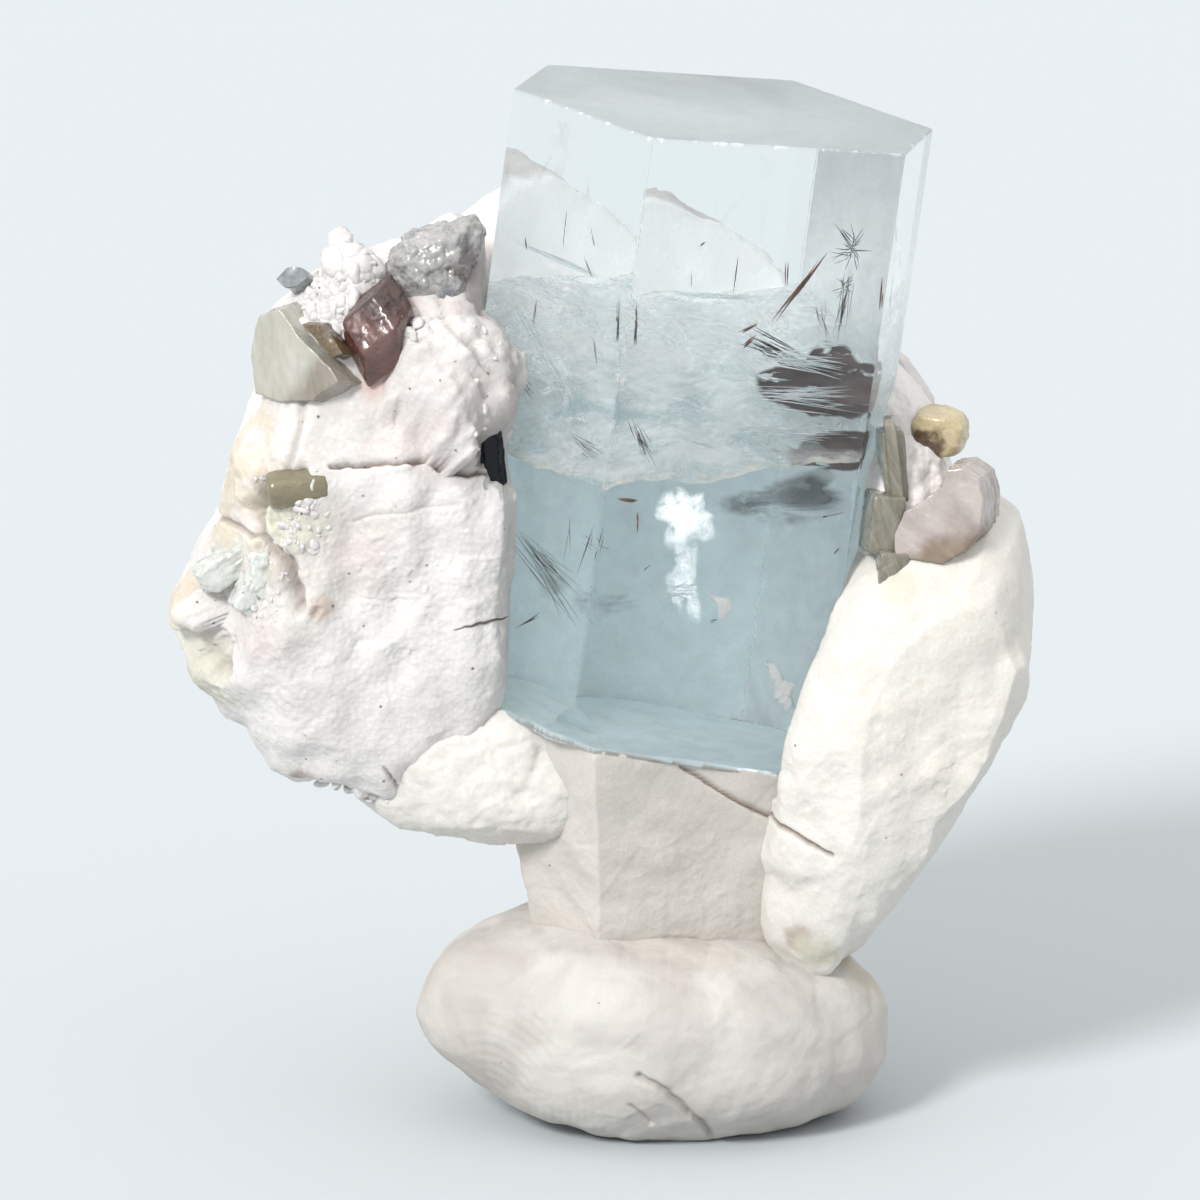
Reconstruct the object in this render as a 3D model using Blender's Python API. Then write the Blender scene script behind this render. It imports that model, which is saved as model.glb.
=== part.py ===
"""Aquamarine crystal in albite and feldspar, held upright in a rolled lump of putty.

A clear six-sided prism leans a little to the right. White albite wraps its left side and
its back, a cream feldspar block carries it from below and rises beside it on the right,
and small crystals of garnet, mica, quartz and tourmaline sit in pockets of the rock.
Constants are in millimetres and MM turns them into metres. The origin is the middle of
the putty's flat foot, +Z is up and the front faces -Y.
"""

import math
from dataclasses import dataclass

import bmesh
import bpy
import numpy as np
from mathutils import Euler, Matrix, Vector

MM = 0.001
GAP = 0.32  # clearance between neighbouring pieces
MOST_STRETCH = 3.0  # a sharp corner moves out by no more than this many gaps
PLATE_TAPER = 0.88  # a plate's front face against its back face

# How a lump's rim, chips and waves are laid.
RIM_SOFTNESS = 32  # degrees over which its corners fade towards the front and the back
RIM_SAMPLES = 9
RIM_HOLD = 8  # the higher, the closer to the rim its corners stay
CHIP_HOLD = 16  # the higher, the closer to the rim the chips reach
GOLDEN_ANGLE = 2.39996  # radians between neighbours of a spiral
SPIRAL_REACH = 1.2  # from the front's middle this far towards the rim
PROBE = 0.12  # half the span over which a chip's slope is read
PROBE_SIDE = (0.31, 0.52, 0.80)  # a heading that no chip has
WAVE_LENGTH = 9.0
WAVE_FINER, WAVE_WEAKER, WAVE_SHARE = 1.9, 1.7, 2.6  # from one octave to the next
KNOB_WAVE = (3.0, 0.16)  # length and height

# Aquamarine: a six-sided prism whose opposite sides are parallel and equal.
PRISM_TOP = (4.9, -1.3, 61.9)  # middle of the end face
PRISM_LEAN = (0.129, -0.059)  # shift in X and Y for each unit of height
PRISM_LENGTH = 37.9
FOOT_SLOPE = 0.1  # the foot's drop for each unit to the right
PRISM_SIDES = (15.4, 7.5, 11.5)
PRISM_FIRST_HEADING = 15.0  # degrees from +X, for the front side
TOP_CHIP = ((17.9, -10.6, 61.0), 4.0)  # centre and radius of the ball that broke it out
FOOT_CHIP = ((-5.6, -12.6, 24.4), 5.2)


@dataclass(frozen=True)
class Lump:
    """A cushion of rock: a rim in the XZ plane, domed to the front and the back, then chipped."""

    name: str
    centre: tuple
    rim: tuple  # (x, z) round the widest outline
    front: float
    back: float
    squareness: float = 2.6
    cuts: tuple = ()  # (azimuth, elevation, distance) of large flats; azimuth 0 is the front
    chips: int = 0  # number of small flats scattered over it
    chip_depth: float = 0.5
    relief: float = 0.4  # height of the waves on its surface
    seed: int = 1
    cells: int = 10  # faces along each side of the cube that it is made from


LEFT_MASS = Lump(
    name="left_mass",
    centre=(-16.2, 0.3, 35.5),
    rim=(
        (-6.5, 36.0), (-7.5, 43.0), (-9.4, 49.0), (-9.4, 54.2), (-11.2, 54.9), (-13.8, 53.9),
        (-17.4, 52.6), (-20.6, 50.6), (-22.7, 48.3), (-22.4, 44.6), (-24.5, 40.0),
        (-24.8, 36.9), (-27.2, 33.7), (-28.1, 31.8), (-27.2, 28.8), (-26.4, 26.8),
        (-23.6, 24.2), (-22.2, 21.6), (-17.8, 20.4), (-14.4, 19.2), (-12.6, 19.2),
        (-10.4, 20.8), (-8.9, 22.8), (-7.4, 25.6), (-6.8, 31.0),
    ),
    front=8.3,
    back=8.8,
    squareness=2.8,
    cuts=((-50, 8, 9.0), (20, -40, 13.4), (-25, 38, 15.0), (165, 15, 7.8)),
    chips=34,
    chip_depth=0.55,
    relief=0.35,
    seed=3,
    cells=12,
)
BACK_WALL = Lump(
    name="back_wall",
    centre=(4.4, 8.6, 37.6),
    rim=(
        (19.0, 37.6), (18.2, 40.6), (17.2, 43.2), (15.7, 45.2), (13.2, 46.9), (9.6, 49.3),
        (6.4, 52.4), (3.0, 55.2), (-0.6, 56.8), (-4.4, 56.4), (-8.2, 54.6), (-11.6, 52.6),
        (-13.0, 46.0), (-13.4, 36.0), (-11.6, 25.0), (-5.0, 20.6), (3.7, 19.8),
        (10.0, 22.4), (15.0, 27.6), (18.6, 32.2),
    ),
    front=7.0,
    back=6.2,
    squareness=3.0,
    cuts=((160, 20, 5.6), (205, -15, 5.7)),
    chips=26,
    chip_depth=0.5,
    relief=0.35,
    seed=8,
    cells=9,
)
BACK_FILL = Lump(
    name="back_fill",
    centre=(-9.4, 7.2, 38.0),
    rim=(
        (-3.0, 38.0), (-3.6, 46.0), (-6.4, 51.6), (-10.2, 52.8), (-14.0, 49.4), (-16.2, 43.0),
        (-16.6, 36.0), (-15.4, 29.0), (-12.4, 24.0), (-8.2, 22.8), (-4.4, 26.6), (-3.2, 32.0),
    ),
    front=4.0,
    back=5.4,
    squareness=2.4,
    chips=12,
    chip_depth=0.5,
    relief=0.35,
    seed=17,
    cells=7,
)
FOOT_FILL = Lump(
    name="foot_fill",
    centre=(-1.6, 8.6, 26.0),
    rim=(
        (7.6, 26.0), (6.8, 29.0), (3.0, 30.6), (-2.0, 31.0), (-6.2, 30.4), (-8.4, 28.0),
        (-8.8, 25.4), (-7.2, 22.6), (-3.6, 21.6), (1.0, 21.4), (5.0, 22.2), (7.0, 24.0),
    ),
    front=4.0,
    back=4.4,
    squareness=2.4,
    chips=8,
    chip_depth=0.4,
    relief=0.3,
    seed=19,
    cells=6,
)
NECK = Lump(
    name="neck",
    centre=(0.9, 0.8, 16.6),
    rim=(
        (10.4, 17.0), (10.6, 25.2), (4.0, 26.0), (-4.0, 26.6), (-8.6, 26.6), (-7.9, 22.0),
        (-7.3, 18.0), (-6.5, 14.4), (-5.6, 10.4), (-4.6, 8.2), (1.0, 7.4), (8.4, 7.2),
        (10.2, 11.0),
    ),
    front=9.4,
    back=8.0,
    squareness=5.0,
    cuts=((14, -10, 6.4), (-44, -8, 7.8), (180, -8, 7.6), (65.4, 81.9, 7.8)),
    chips=10,
    chip_depth=0.3,
    relief=0.16,
    seed=12,
    cells=8,
)
LEDGE = Lump(
    name="ledge",
    centre=(-9.0, 0.2, 22.4),
    rim=(
        (-1.0, 22.4), (-2.0, 25.6), (-9.0, 25.8), (-16.4, 22.8), (-17.5, 21.3), (-16.9, 19.6),
        (-15.2, 18.6), (-12.0, 18.2), (-8.5, 17.8), (-5.0, 18.0), (-2.0, 18.2),
    ),
    front=6.4,
    back=6.6,
    squareness=3.4,
    chips=8,
    chip_depth=0.3,
    relief=0.2,
    seed=14,
    cells=6,
)
WING = Lump(
    name="wing",
    centre=(15.0, -0.8, 23.4),
    rim=(
        (23.2, 26.0), (23.0, 28.4), (23.4, 31.4), (23.3, 34.4), (22.6, 37.2), (21.2, 38.4),
        (18.8, 38.0), (15.2, 36.6), (11.6, 34.0), (9.4, 29.0), (8.0, 24.6), (7.4, 20.4),
        (7.2, 15.6), (7.5, 11.0), (8.4, 9.0), (9.4, 7.8), (10.9, 7.9), (12.0, 9.2),
        (13.6, 10.5), (14.3, 12.1), (15.0, 13.8), (15.9, 16.2), (17.2, 17.3), (18.5, 18.5),
        (19.5, 19.9), (20.5, 21.5), (21.4, 23.2), (22.4, 24.4),
    ),
    front=8.3,
    back=7.4,
    squareness=2.7,
    cuts=((14, 0, 7.5), (60, -14, 7.6), (165, 10, 6.8)),
    chips=16,
    chip_depth=0.4,
    relief=0.22,
    seed=21,
    cells=10,
)
PUTTY = Lump(
    name="putty",
    centre=(1.1, -1.4, 6.4),
    rim=(
        (15.0, 6.8), (14.2, 8.4), (12.9, 9.8), (9.0, 10.6), (4.0, 11.4), (-1.0, 12.0),
        (-5.6, 12.3), (-8.6, 12.0), (-11.2, 10.7), (-12.9, 8.6), (-13.6, 6.5), (-13.1, 5.0),
        (-11.4, 3.5), (-8.8, 1.9), (-5.0, 0.4), (1.2, -0.5), (4.4, 0.0), (8.4, -0.3),
        (11.6, 0.3), (14.0, 1.8), (15.1, 3.8),
    ),
    front=9.8,
    back=12.6,
    squareness=2.1,
    relief=0.12,
    seed=30,
    cells=10,
)

GREY_QUARTZ = Lump(
    name="grey_quartz",
    centre=(-12.4, -2.7, 52.8),
    rim=(
        (-9.7, 53.6), (-9.3, 54.9), (-9.9, 55.8), (-11.2, 55.2), (-12.4, 55.0), (-13.9, 54.5),
        (-14.9, 53.4), (-15.0, 51.8), (-13.5, 50.8), (-12.4, 50.0), (-11.2, 50.0),
        (-10.4, 51.2), (-10.3, 52.4),
    ),
    front=2.6,
    back=2.4,
    chips=12,
    chip_depth=0.35,
    relief=0.1,
    seed=50,
    cells=5,
)

# White knobs and lobes of the albite: centre, half sizes and a seed each.
KNOBS = (
    ((-17.3, -3.2, 52.0), (2.3, 2.6, 2.1), 41),
    ((-15.8, -4.4, 51.3), (1.6, 1.9, 1.7), 42),
    ((-12.4, -6.9, 49.2), (2.4, 2.4, 2.6), 43),
    ((-12.0, -5.4, 45.2), (3.9, 2.9, 3.4), 44),
    ((-26.0, -1.6, 31.6), (2.2, 3.0, 2.2), 45),
    ((-22.2, -3.0, 40.2), (2.0, 3.4, 2.9), 46),
    ((15.8, 2.8, 42.0), (2.4, 3.4, 2.9), 47),
)
# The albite between the prism's right side and the mica book.
CHEEK = ((15.5, -0.9, 37.0), (3.1, 3.9, 5.8), 48)
# Hollows of the albite: centre and radius each.
PITS = (
    ((-8.4, -6.7, 41.8), 1.7),
    ((-21.6, -8.7, 38.7), 1.9),
    ((-23.1, -7.6, 36.9), 1.5),
    ((-25.6, -5.4, 29.6), 1.9),
    ((-17.6, -8.6, 48.9), 1.4),
    ((-18.8, -9.3, 33.4), 1.3),
)

GARNET_SIZE = (5.0, 5.2, 7.0)
GARNET_PLACE = ((-15.3, -6.0, 49.6), (-12, 16, 20))

# Plates: an outline in the plate's own XZ plane, round its middle, then thickness and place.
LEFT_PLATE = (
    (
        (-3.3, 1.2), (-2.9, 2.4), (-1.2, 3.0), (0.2, 1.5), (3.2, -0.5), (4.0, -1.4), (2.0, -2.9),
        (-1.0, -3.3), (-2.8, -3.0), (-3.4, -0.5),
    ),
    2.6,
)
LEFT_PLATE_PLACE = ((-19.7, -4.9, 48.0), (-6, 0, -34))
WEDGE = (((-1.6, 1.0), (-0.3, 1.1), (0.4, 0.7), (1.6, -0.7), (0.9, -1.0), (0.0, -0.3)), 1.3)
WEDGE_PLACE = ((-18.4, -6.5, 49.0), (-10, 0, -24))
FLAKE = (((-1.2, -0.3), (-0.6, 0.6), (0.5, 0.7), (1.2, 0.1), (0.7, -0.6), (-0.5, -0.7)), 1.6)
FLAKE_PLACE = ((-20.2, -2.2, 51.8), (-25, 0, -30))
DARK_MICA = (
    (
        (-5.0, -3.2), (-4.6, 0.5), (-5.2, 3.4), (-1.6, 4.2), (2.4, 4.0), (5.0, 3.0), (5.3, -0.4),
        (4.2, -3.4), (0.8, -4.2), (-2.6, -3.6),
    ),
    1.0,
)
DARK_MICA_PLACE = ((11.5, 6.2, 43.6), (-3, 0, -45))
BOOK = (
    (
        (-2.9, -2.9), (-2.9, -1.3), (-2.4, 0.2), (-1.0, 1.1), (0.1, 1.9), (0.5, 3.3), (1.5, 3.4),
        (2.6, 2.7), (3.0, 1.2), (2.9, -0.8), (1.9, -2.1), (0.3, -3.2), (-1.4, -3.0),
    ),
    3.8,
)
BOOK_PLACE = ((18.0, -4.3, 38.1), (-8, 0, -14))
# Blades of the olive mica: width, thickness and height, then place.
OLIVE_BLADES = (
    ((0.7, 2.4, 9.2), (15.2, -4.0, 39.3), (0, -7, 0)),
    ((1.4, 2.0, 4.4), (14.9, -3.6, 41.0), (0, -5, 10)),
    ((2.0, 2.2, 3.6), (14.3, -4.6, 37.7), (0, 7, 14)),
    ((1.8, 2.0, 2.4), (14.8, -5.3, 35.0), (0, 5, 10)),
)
# Blades of the glassy cluster, in the same way.
GLASSY_BLADES = (
    ((4.4, 2.4, 1.8), (-24.3, -3.8, 35.0), (0, -28, 8)),
    ((3.6, 2.4, 1.5), (-22.9, -5.2, 34.2), (0, -60, 12)),
    ((2.8, 2.4, 1.4), (-22.3, -5.8, 34.9), (0, 78, 4)),
)

OLIVE_WIDTH, OLIVE_LENGTH = 2.6, 3.6
OLIVE_PLACE = ((-20.2, -6.7, 40.3), (0, 84, 8))
TOURMALINE_WIDTH, TOURMALINE_LENGTH = 1.6, 3.8
TOURMALINE_PLACE = ((-8.8, -5.1, 41.9), (6, -6, 0))
YELLOW_SIZE, YELLOW_BEVEL = (3.2, 2.7, 2.5), 0.45
YELLOW_PLACE = ((17.8, -1.0, 42.4), (6, 8, -16))

# Finish of each piece: colour, roughness and how far light passes through it.
FINISHES = {
    "aquamarine_crystal": ((0.62, 0.82, 0.86), 0.05, 1.0),
    "albite_matrix": ((0.82, 0.79, 0.78), 0.75, 0.0),
    "feldspar_block": ((0.86, 0.81, 0.74), 0.7, 0.0),
    "putty_base": ((0.80, 0.76, 0.71), 0.85, 0.0),
    "garnet": ((0.16, 0.035, 0.025), 0.2, 0.3),
    "muscovite_plate_left": ((0.68, 0.69, 0.58), 0.35, 0.2),
    "brown_wedge": ((0.13, 0.09, 0.03), 0.35, 0.0),
    "grey_quartz": ((0.45, 0.43, 0.41), 0.25, 0.2),
    "grey_flake": ((0.22, 0.24, 0.24), 0.3, 0.0),
    "olive_crystal": ((0.32, 0.26, 0.12), 0.35, 0.2),
    "glassy_cluster": ((0.62, 0.64, 0.58), 0.2, 0.4),
    "black_tourmaline": ((0.01, 0.01, 0.012), 0.25, 0.0),
    "dark_mica": ((0.05, 0.035, 0.03), 0.25, 0.0),
    "olive_blades": ((0.20, 0.18, 0.10), 0.3, 0.0),
    "muscovite_book": ((0.40, 0.34, 0.33), 0.3, 0.0),
    "yellow_crystal": ((0.66, 0.48, 0.20), 0.3, 0.2),
}


def clear_scene():
    """Removes whatever the scene holds, so that the script can be run again."""
    for obj in list(bpy.data.objects):
        bpy.data.objects.remove(obj, do_unlink=True)


def new_collection(name, helper=False):
    """A collection under the scene's own; a helper collection isn't rendered."""
    collection = bpy.data.collections.new(name)
    bpy.context.scene.collection.children.link(collection)
    collection.hide_render = helper
    return collection


def material(name):
    """The Principled material of this piece, from the finishes."""
    colour, roughness, transmission = FINISHES[name]
    made = bpy.data.materials.new(name)
    made.use_nodes = True
    shader = made.node_tree.nodes["Principled BSDF"]
    shader.inputs["Base Color"].default_value = (*colour, 1.0)
    shader.inputs["Roughness"].default_value = roughness
    shader.inputs["Metallic"].default_value = 0.0
    shader.inputs["Transmission Weight"].default_value = transmission
    made.diffuse_color = (*colour, 1.0)
    return made


class Workshop:
    """Holds the two collections and turns finished meshes into parts or helpers."""

    def __init__(self):
        self.parts = new_collection("aquamarine_specimen")
        self.helpers = new_collection("cutters", helper=True)

    def _add(self, name, bm, collection):
        """Writes the bmesh, still in millimetres, as an object in metres."""
        bmesh.ops.scale(bm, vec=(MM, MM, MM), verts=bm.verts)
        bmesh.ops.recalc_face_normals(bm, faces=bm.faces)
        bmesh.ops.triangulate(bm, faces=bm.faces)
        mesh = bpy.data.meshes.new(name)
        bm.to_mesh(mesh)
        bm.free()
        obj = bpy.data.objects.new(name, mesh)
        collection.objects.link(obj)
        return obj

    def part(self, name, bm):
        """A node of the specimen."""
        obj = self._add(name, bm, self.parts)
        obj.data.materials.append(material(name))
        return obj

    def helper(self, name, bm):
        """A cutter, or a lump that is joined to a part."""
        obj = self._add(name, bm, self.helpers)
        obj.hide_render = True
        obj.display_type = "WIRE"
        return obj

    def clearance(self, obj, gap=GAP):
        """A copy of the object's own mesh with every face pushed out by the gap."""
        bm = bmesh.new()
        bm.from_mesh(obj.data)
        bm.transform(obj.matrix_world)
        bm.normal_update()
        moves = [(v, v.normal * min(v.calc_shell_factor(), MOST_STRETCH)) for v in bm.verts]
        for vertex, push in moves:
            vertex.co += push * gap * MM
        bmesh.ops.scale(bm, vec=(1 / MM, 1 / MM, 1 / MM), verts=bm.verts)
        return self.helper(f"{obj.name}_clearance", bm)


def boolean(target, other, operation):
    """A live Boolean on the target."""
    modifier = target.modifiers.new(f"{operation.lower()} {other.name}", "BOOLEAN")
    modifier.operation = operation
    modifier.solver = "EXACT"
    modifier.object = other


def unite(target, others):
    """Joins the other objects to the target."""
    for other in others:
        boolean(target, other, "UNION")


def cut(target, others):
    """Takes the other objects out of the target."""
    for other in others:
        boolean(target, other, "DIFFERENCE")


def facing(azimuth, elevation):
    """The unit vector at this azimuth and elevation, where azimuth 0 faces the front."""
    turn, rise = math.radians(azimuth), math.radians(elevation)
    return np.array(
        (math.sin(turn) * math.cos(rise), -math.cos(turn) * math.cos(rise), math.sin(rise))
    )


def waves(points, seed, length, height):
    """Smooth uneven relief: sines of about this length run across in seeded directions."""
    rng = np.random.default_rng(seed)
    total = np.zeros(len(points))
    for octave in range(3):
        runs = rng.normal(size=(5, 3))
        runs *= 2 * math.pi / length * WAVE_FINER**octave / np.linalg.norm(runs, axis=1)[:, None]
        phases = rng.uniform(0, 2 * math.pi, 5)
        total += np.sin(points @ runs.T + phases).sum(axis=1) / (WAVE_SHARE * WAVE_WEAKER**octave)
    return total * height


def rim_radius(lump, angles, softness=0):
    """Distance from the lump's middle to its rim at each angle in the XZ plane.

    The softness, in degrees, averages the rim over that much to either side.
    """
    offsets = np.array(lump.rim) - (lump.centre[0], lump.centre[2])
    rim_angles = np.arctan2(offsets[:, 1], offsets[:, 0])
    radii = np.hypot(offsets[:, 0], offsets[:, 1])
    shifts = np.radians(np.linspace(-softness, softness, RIM_SAMPLES if softness else 1))
    samples = [np.interp(angles + shift, rim_angles, radii, period=2 * math.pi) for shift in shifts]
    return np.mean(samples, axis=0)


def dome(lump, directions):
    """Distance from the lump's middle to its smooth cushion along each unit direction.

    The corners of the rim fade out towards the front and the back.
    """
    across = np.hypot(directions[:, 0], directions[:, 2])
    angles = np.arctan2(directions[:, 2], directions[:, 0])
    soft = rim_radius(lump, angles, RIM_SOFTNESS)
    rim = soft + (rim_radius(lump, angles) - soft) * across**RIM_HOLD
    depth = np.where(directions[:, 1] < 0, lump.front, lump.back)
    power = lump.squareness
    spread = (across / rim) ** power + (np.abs(directions[:, 1]) / depth) ** power
    return spread ** (-1 / power)


def chip_planes(lump):
    """The lump's chips as unit normals and distances.

    A chip is the tangent plane of the dome at a point of a jittered spiral, sunk a little.
    The spirals cover the front and the back but stay off the rim.
    """
    normals = []
    distances = []
    rng = np.random.default_rng(lump.seed)
    for chip in range(lump.chips):
        height = 1 - SPIRAL_REACH * (chip // 2 + 0.5) / lump.chips
        height *= 1 if chip % 2 else -1
        turn = GOLDEN_ANGLE * chip + rng.uniform(-0.5, 0.5)
        level = math.sqrt(1 - height * height)
        towards = np.array((level * math.cos(turn), height, level * math.sin(turn)))
        side = np.cross(towards, PROBE_SIDE)
        side /= np.linalg.norm(side)
        other = np.cross(towards, side)
        probes = towards + PROBE * np.array((side * 0, side, -side, other, -other))
        probes /= np.linalg.norm(probes, axis=1)[:, None]
        points = probes * dome(lump, probes)[:, None]
        normal = np.cross(points[1] - points[2], points[3] - points[4])
        normal /= np.linalg.norm(normal)
        normal *= np.sign(normal @ towards)
        normals.append(normal)
        distances.append(normal @ points[0] - lump.chip_depth * rng.uniform(0.2, 1.3))
    return np.array(normals), np.array(distances)


def cut_flat(distance, directions, normals, flats):
    """The distance along each direction, shortened where it would pass one of the flats."""
    towards = np.maximum(directions @ np.transpose(normals), 1e-6)
    return np.minimum(distance, (np.array(flats) / towards).min(axis=1))


def reach(lump, directions):
    """Distance from the lump's middle to its chipped and weathered surface.

    The chips fade out towards the rim; the large flats cut through it.
    """
    distance = dome(lump, directions)
    if lump.chips:
        chipped = cut_flat(distance, directions, *chip_planes(lump))
        across = np.hypot(directions[:, 0], directions[:, 2])
        distance = chipped + (distance - chipped) * across**CHIP_HOLD
    if lump.cuts:
        normals = [facing(azimuth, elevation) for azimuth, elevation, _ in lump.cuts]
        distance = cut_flat(distance, directions, normals, [cut[2] for cut in lump.cuts])
    points = directions * distance[:, None]
    return distance + waves(points, lump.seed, WAVE_LENGTH, lump.relief)


def ball(cells):
    """A ball made from a cube of cells, which spreads its faces evenly, and its directions."""
    bm = bmesh.new()
    bmesh.ops.create_cube(bm, size=2)
    bmesh.ops.subdivide_edges(bm, edges=bm.edges, cuts=cells - 1, use_grid_fill=True)
    directions = np.tan(np.array([v.co[:] for v in bm.verts]) * math.pi / 4)
    return bm, directions / np.linalg.norm(directions, axis=1)[:, None]


def place(bm, points):
    """Moves the vertices to these points."""
    for vertex, point in zip(bm.verts, points):
        vertex.co = point


def lump_mesh(lump, floor=None):
    """The lump as a closed mesh, flattened at the floor's height where one is given."""
    bm, directions = ball(lump.cells)
    points = np.array(lump.centre) + directions * reach(lump, directions)[:, None]
    if floor is not None:
        points[:, 2] = np.maximum(points[:, 2], floor)
    place(bm, points)
    return bm


def knob_mesh(centre, half_sizes, seed):
    """A small rounded lobe with broken flats."""
    bm = bmesh.new()
    bmesh.ops.create_icosphere(bm, subdivisions=2, radius=1)
    directions = np.array([v.co[:] for v in bm.verts])
    points = np.array(centre) + directions * np.array(half_sizes)
    points += directions * waves(points, seed, *KNOB_WAVE)[:, None]
    place(bm, points)
    return bm


def prism_axis():
    """The unit vector up the prism."""
    return Vector((*PRISM_LEAN, 1.0)).normalized()


def prism_corners():
    """The six corners of the prism's section, walked side by side and centred."""
    corners = [Vector((0.0, 0.0))]
    for side in range(5):
        heading = math.radians(PRISM_FIRST_HEADING + 60 * side)
        step = Vector((math.cos(heading), math.sin(heading))) * PRISM_SIDES[side % 3]
        corners.append(corners[-1] + step)
    middle = sum(corners, Vector((0.0, 0.0))) / 6
    return [corner - middle for corner in corners]


def prism_mesh():
    """The section lofted down the leaning axis: a square end face and a sloping foot."""
    axis = prism_axis()
    across = Vector((1, 0, 0))
    across = (across - axis * across.dot(axis)).normalized()
    depth = axis.cross(across)
    top = Vector(PRISM_TOP)
    bm = bmesh.new()
    ring = [bm.verts.new(top + across * c.x + depth * c.y) for c in prism_corners()]
    end = bm.faces.new(ring)
    body = bmesh.ops.extrude_face_region(bm, geom=[end])["geom"]
    moved = [item for item in body if isinstance(item, bmesh.types.BMVert)]
    for vertex in moved:
        drop = PRISM_LENGTH + FOOT_SLOPE * across.dot(vertex.co - top)
        vertex.co -= axis * drop
    return bm


def chip_mesh(centre, radius):
    """The ball that a shell-shaped chip leaves its hollow of."""
    bm = bmesh.new()
    bmesh.ops.create_icosphere(bm, subdivisions=2, radius=radius)
    bmesh.ops.translate(bm, vec=centre, verts=bm.verts)
    return bm


def hexagonal(width, length, centre, tilt, flatten=1.0):
    """A small six-sided prism, turned by the tilt (degrees about X, Y, Z)."""
    bm = bmesh.new()
    bmesh.ops.create_cone(
        bm, cap_ends=True, segments=6, radius1=width / 2, radius2=width / 2, depth=length
    )
    bmesh.ops.scale(bm, vec=(1, flatten, 1), verts=bm.verts)
    set_in_place(bm, centre, tilt)
    return bm


def set_in_place(bm, centre, tilt):
    """Turns the mesh about its origin and moves it to the centre."""
    turn = Euler([math.radians(angle) for angle in tilt]).to_matrix().to_4x4()
    bm.transform(Matrix.Translation(centre) @ turn)


def garnet_mesh(size, centre, tilt):
    """A dodecahedron of twelve rhombs: the hull of a cube's corners and six raised points."""
    bm = bmesh.new()
    cube = [Vector((x, y, z)) for x in (-1, 1) for y in (-1, 1) for z in (-1, 1)]
    raised = [Vector(axis) * side for axis in ((2, 0, 0), (0, 2, 0), (0, 0, 2)) for side in (-1, 1)]
    for point in cube + raised:
        bm.verts.new(Vector((point.x * size[0], point.y * size[1], point.z * size[2])) / 4)
    bmesh.ops.convex_hull(bm, input=bm.verts)
    set_in_place(bm, centre, tilt)
    return bm


def plate_mesh(outline, thickness, centre, tilt):
    """A crystal plate: an outline in its own XZ plane, with its front face a little smaller."""
    bm = bmesh.new()
    end = bm.faces.new([bm.verts.new((x, thickness / 2, z)) for x, z in outline])
    body = bmesh.ops.extrude_face_region(bm, geom=[end])["geom"]
    front = [item for item in body if isinstance(item, bmesh.types.BMVert)]
    bmesh.ops.translate(bm, vec=(0, -thickness, 0), verts=front)
    bmesh.ops.scale(bm, vec=(PLATE_TAPER, 1, PLATE_TAPER), verts=front)
    set_in_place(bm, centre, tilt)
    return bm


def block_mesh(size, centre, tilt, bevel=0.0):
    """A box of this size, with bevelled edges where a bevel is given."""
    bm = bmesh.new()
    bmesh.ops.create_cube(bm, size=1)
    bmesh.ops.scale(bm, vec=size, verts=bm.verts)
    if bevel:
        bmesh.ops.bevel(bm, geom=bm.edges, offset=bevel, segments=1, affect="EDGES")
    set_in_place(bm, centre, tilt)
    return bm


def make_small_crystals(shop):
    """The small crystals that sit in pockets of the rock, as a list of parts."""
    crystals = [
        shop.part("garnet", garnet_mesh(GARNET_SIZE, *GARNET_PLACE)),
        shop.part("muscovite_plate_left", plate_mesh(*LEFT_PLATE, *LEFT_PLATE_PLACE)),
        shop.part("brown_wedge", plate_mesh(*WEDGE, *WEDGE_PLACE)),
        shop.part("grey_quartz", lump_mesh(GREY_QUARTZ)),
        shop.part("grey_flake", plate_mesh(*FLAKE, *FLAKE_PLACE)),
        shop.part("olive_crystal", hexagonal(OLIVE_WIDTH, OLIVE_LENGTH, *OLIVE_PLACE)),
        shop.part(
            "black_tourmaline",
            hexagonal(TOURMALINE_WIDTH, TOURMALINE_LENGTH, *TOURMALINE_PLACE),
        ),
        shop.part("dark_mica", plate_mesh(*DARK_MICA, *DARK_MICA_PLACE)),
        shop.part("muscovite_book", plate_mesh(*BOOK, *BOOK_PLACE)),
        shop.part("yellow_crystal", block_mesh(YELLOW_SIZE, *YELLOW_PLACE, YELLOW_BEVEL)),
    ]
    olive_blades = make_blades(shop, "olive_blades", OLIVE_BLADES)
    book = bpy.data.objects["muscovite_book"]
    cut(book, [shop.clearance(blade) for blade in olive_blades])
    return [*crystals, *olive_blades, *make_blades(shop, "glassy_cluster", GLASSY_BLADES)]


def make_blades(shop, name, blades):
    """Blades that grew together: one part, followed by the helpers that are joined to it."""
    first, *others = [block_mesh(*blade) for blade in blades]
    part = shop.part(name, first)
    joined = [shop.helper(f"{name}_{i}", blade) for i, blade in enumerate(others)]
    unite(part, joined)
    return [part, *joined]


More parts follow.
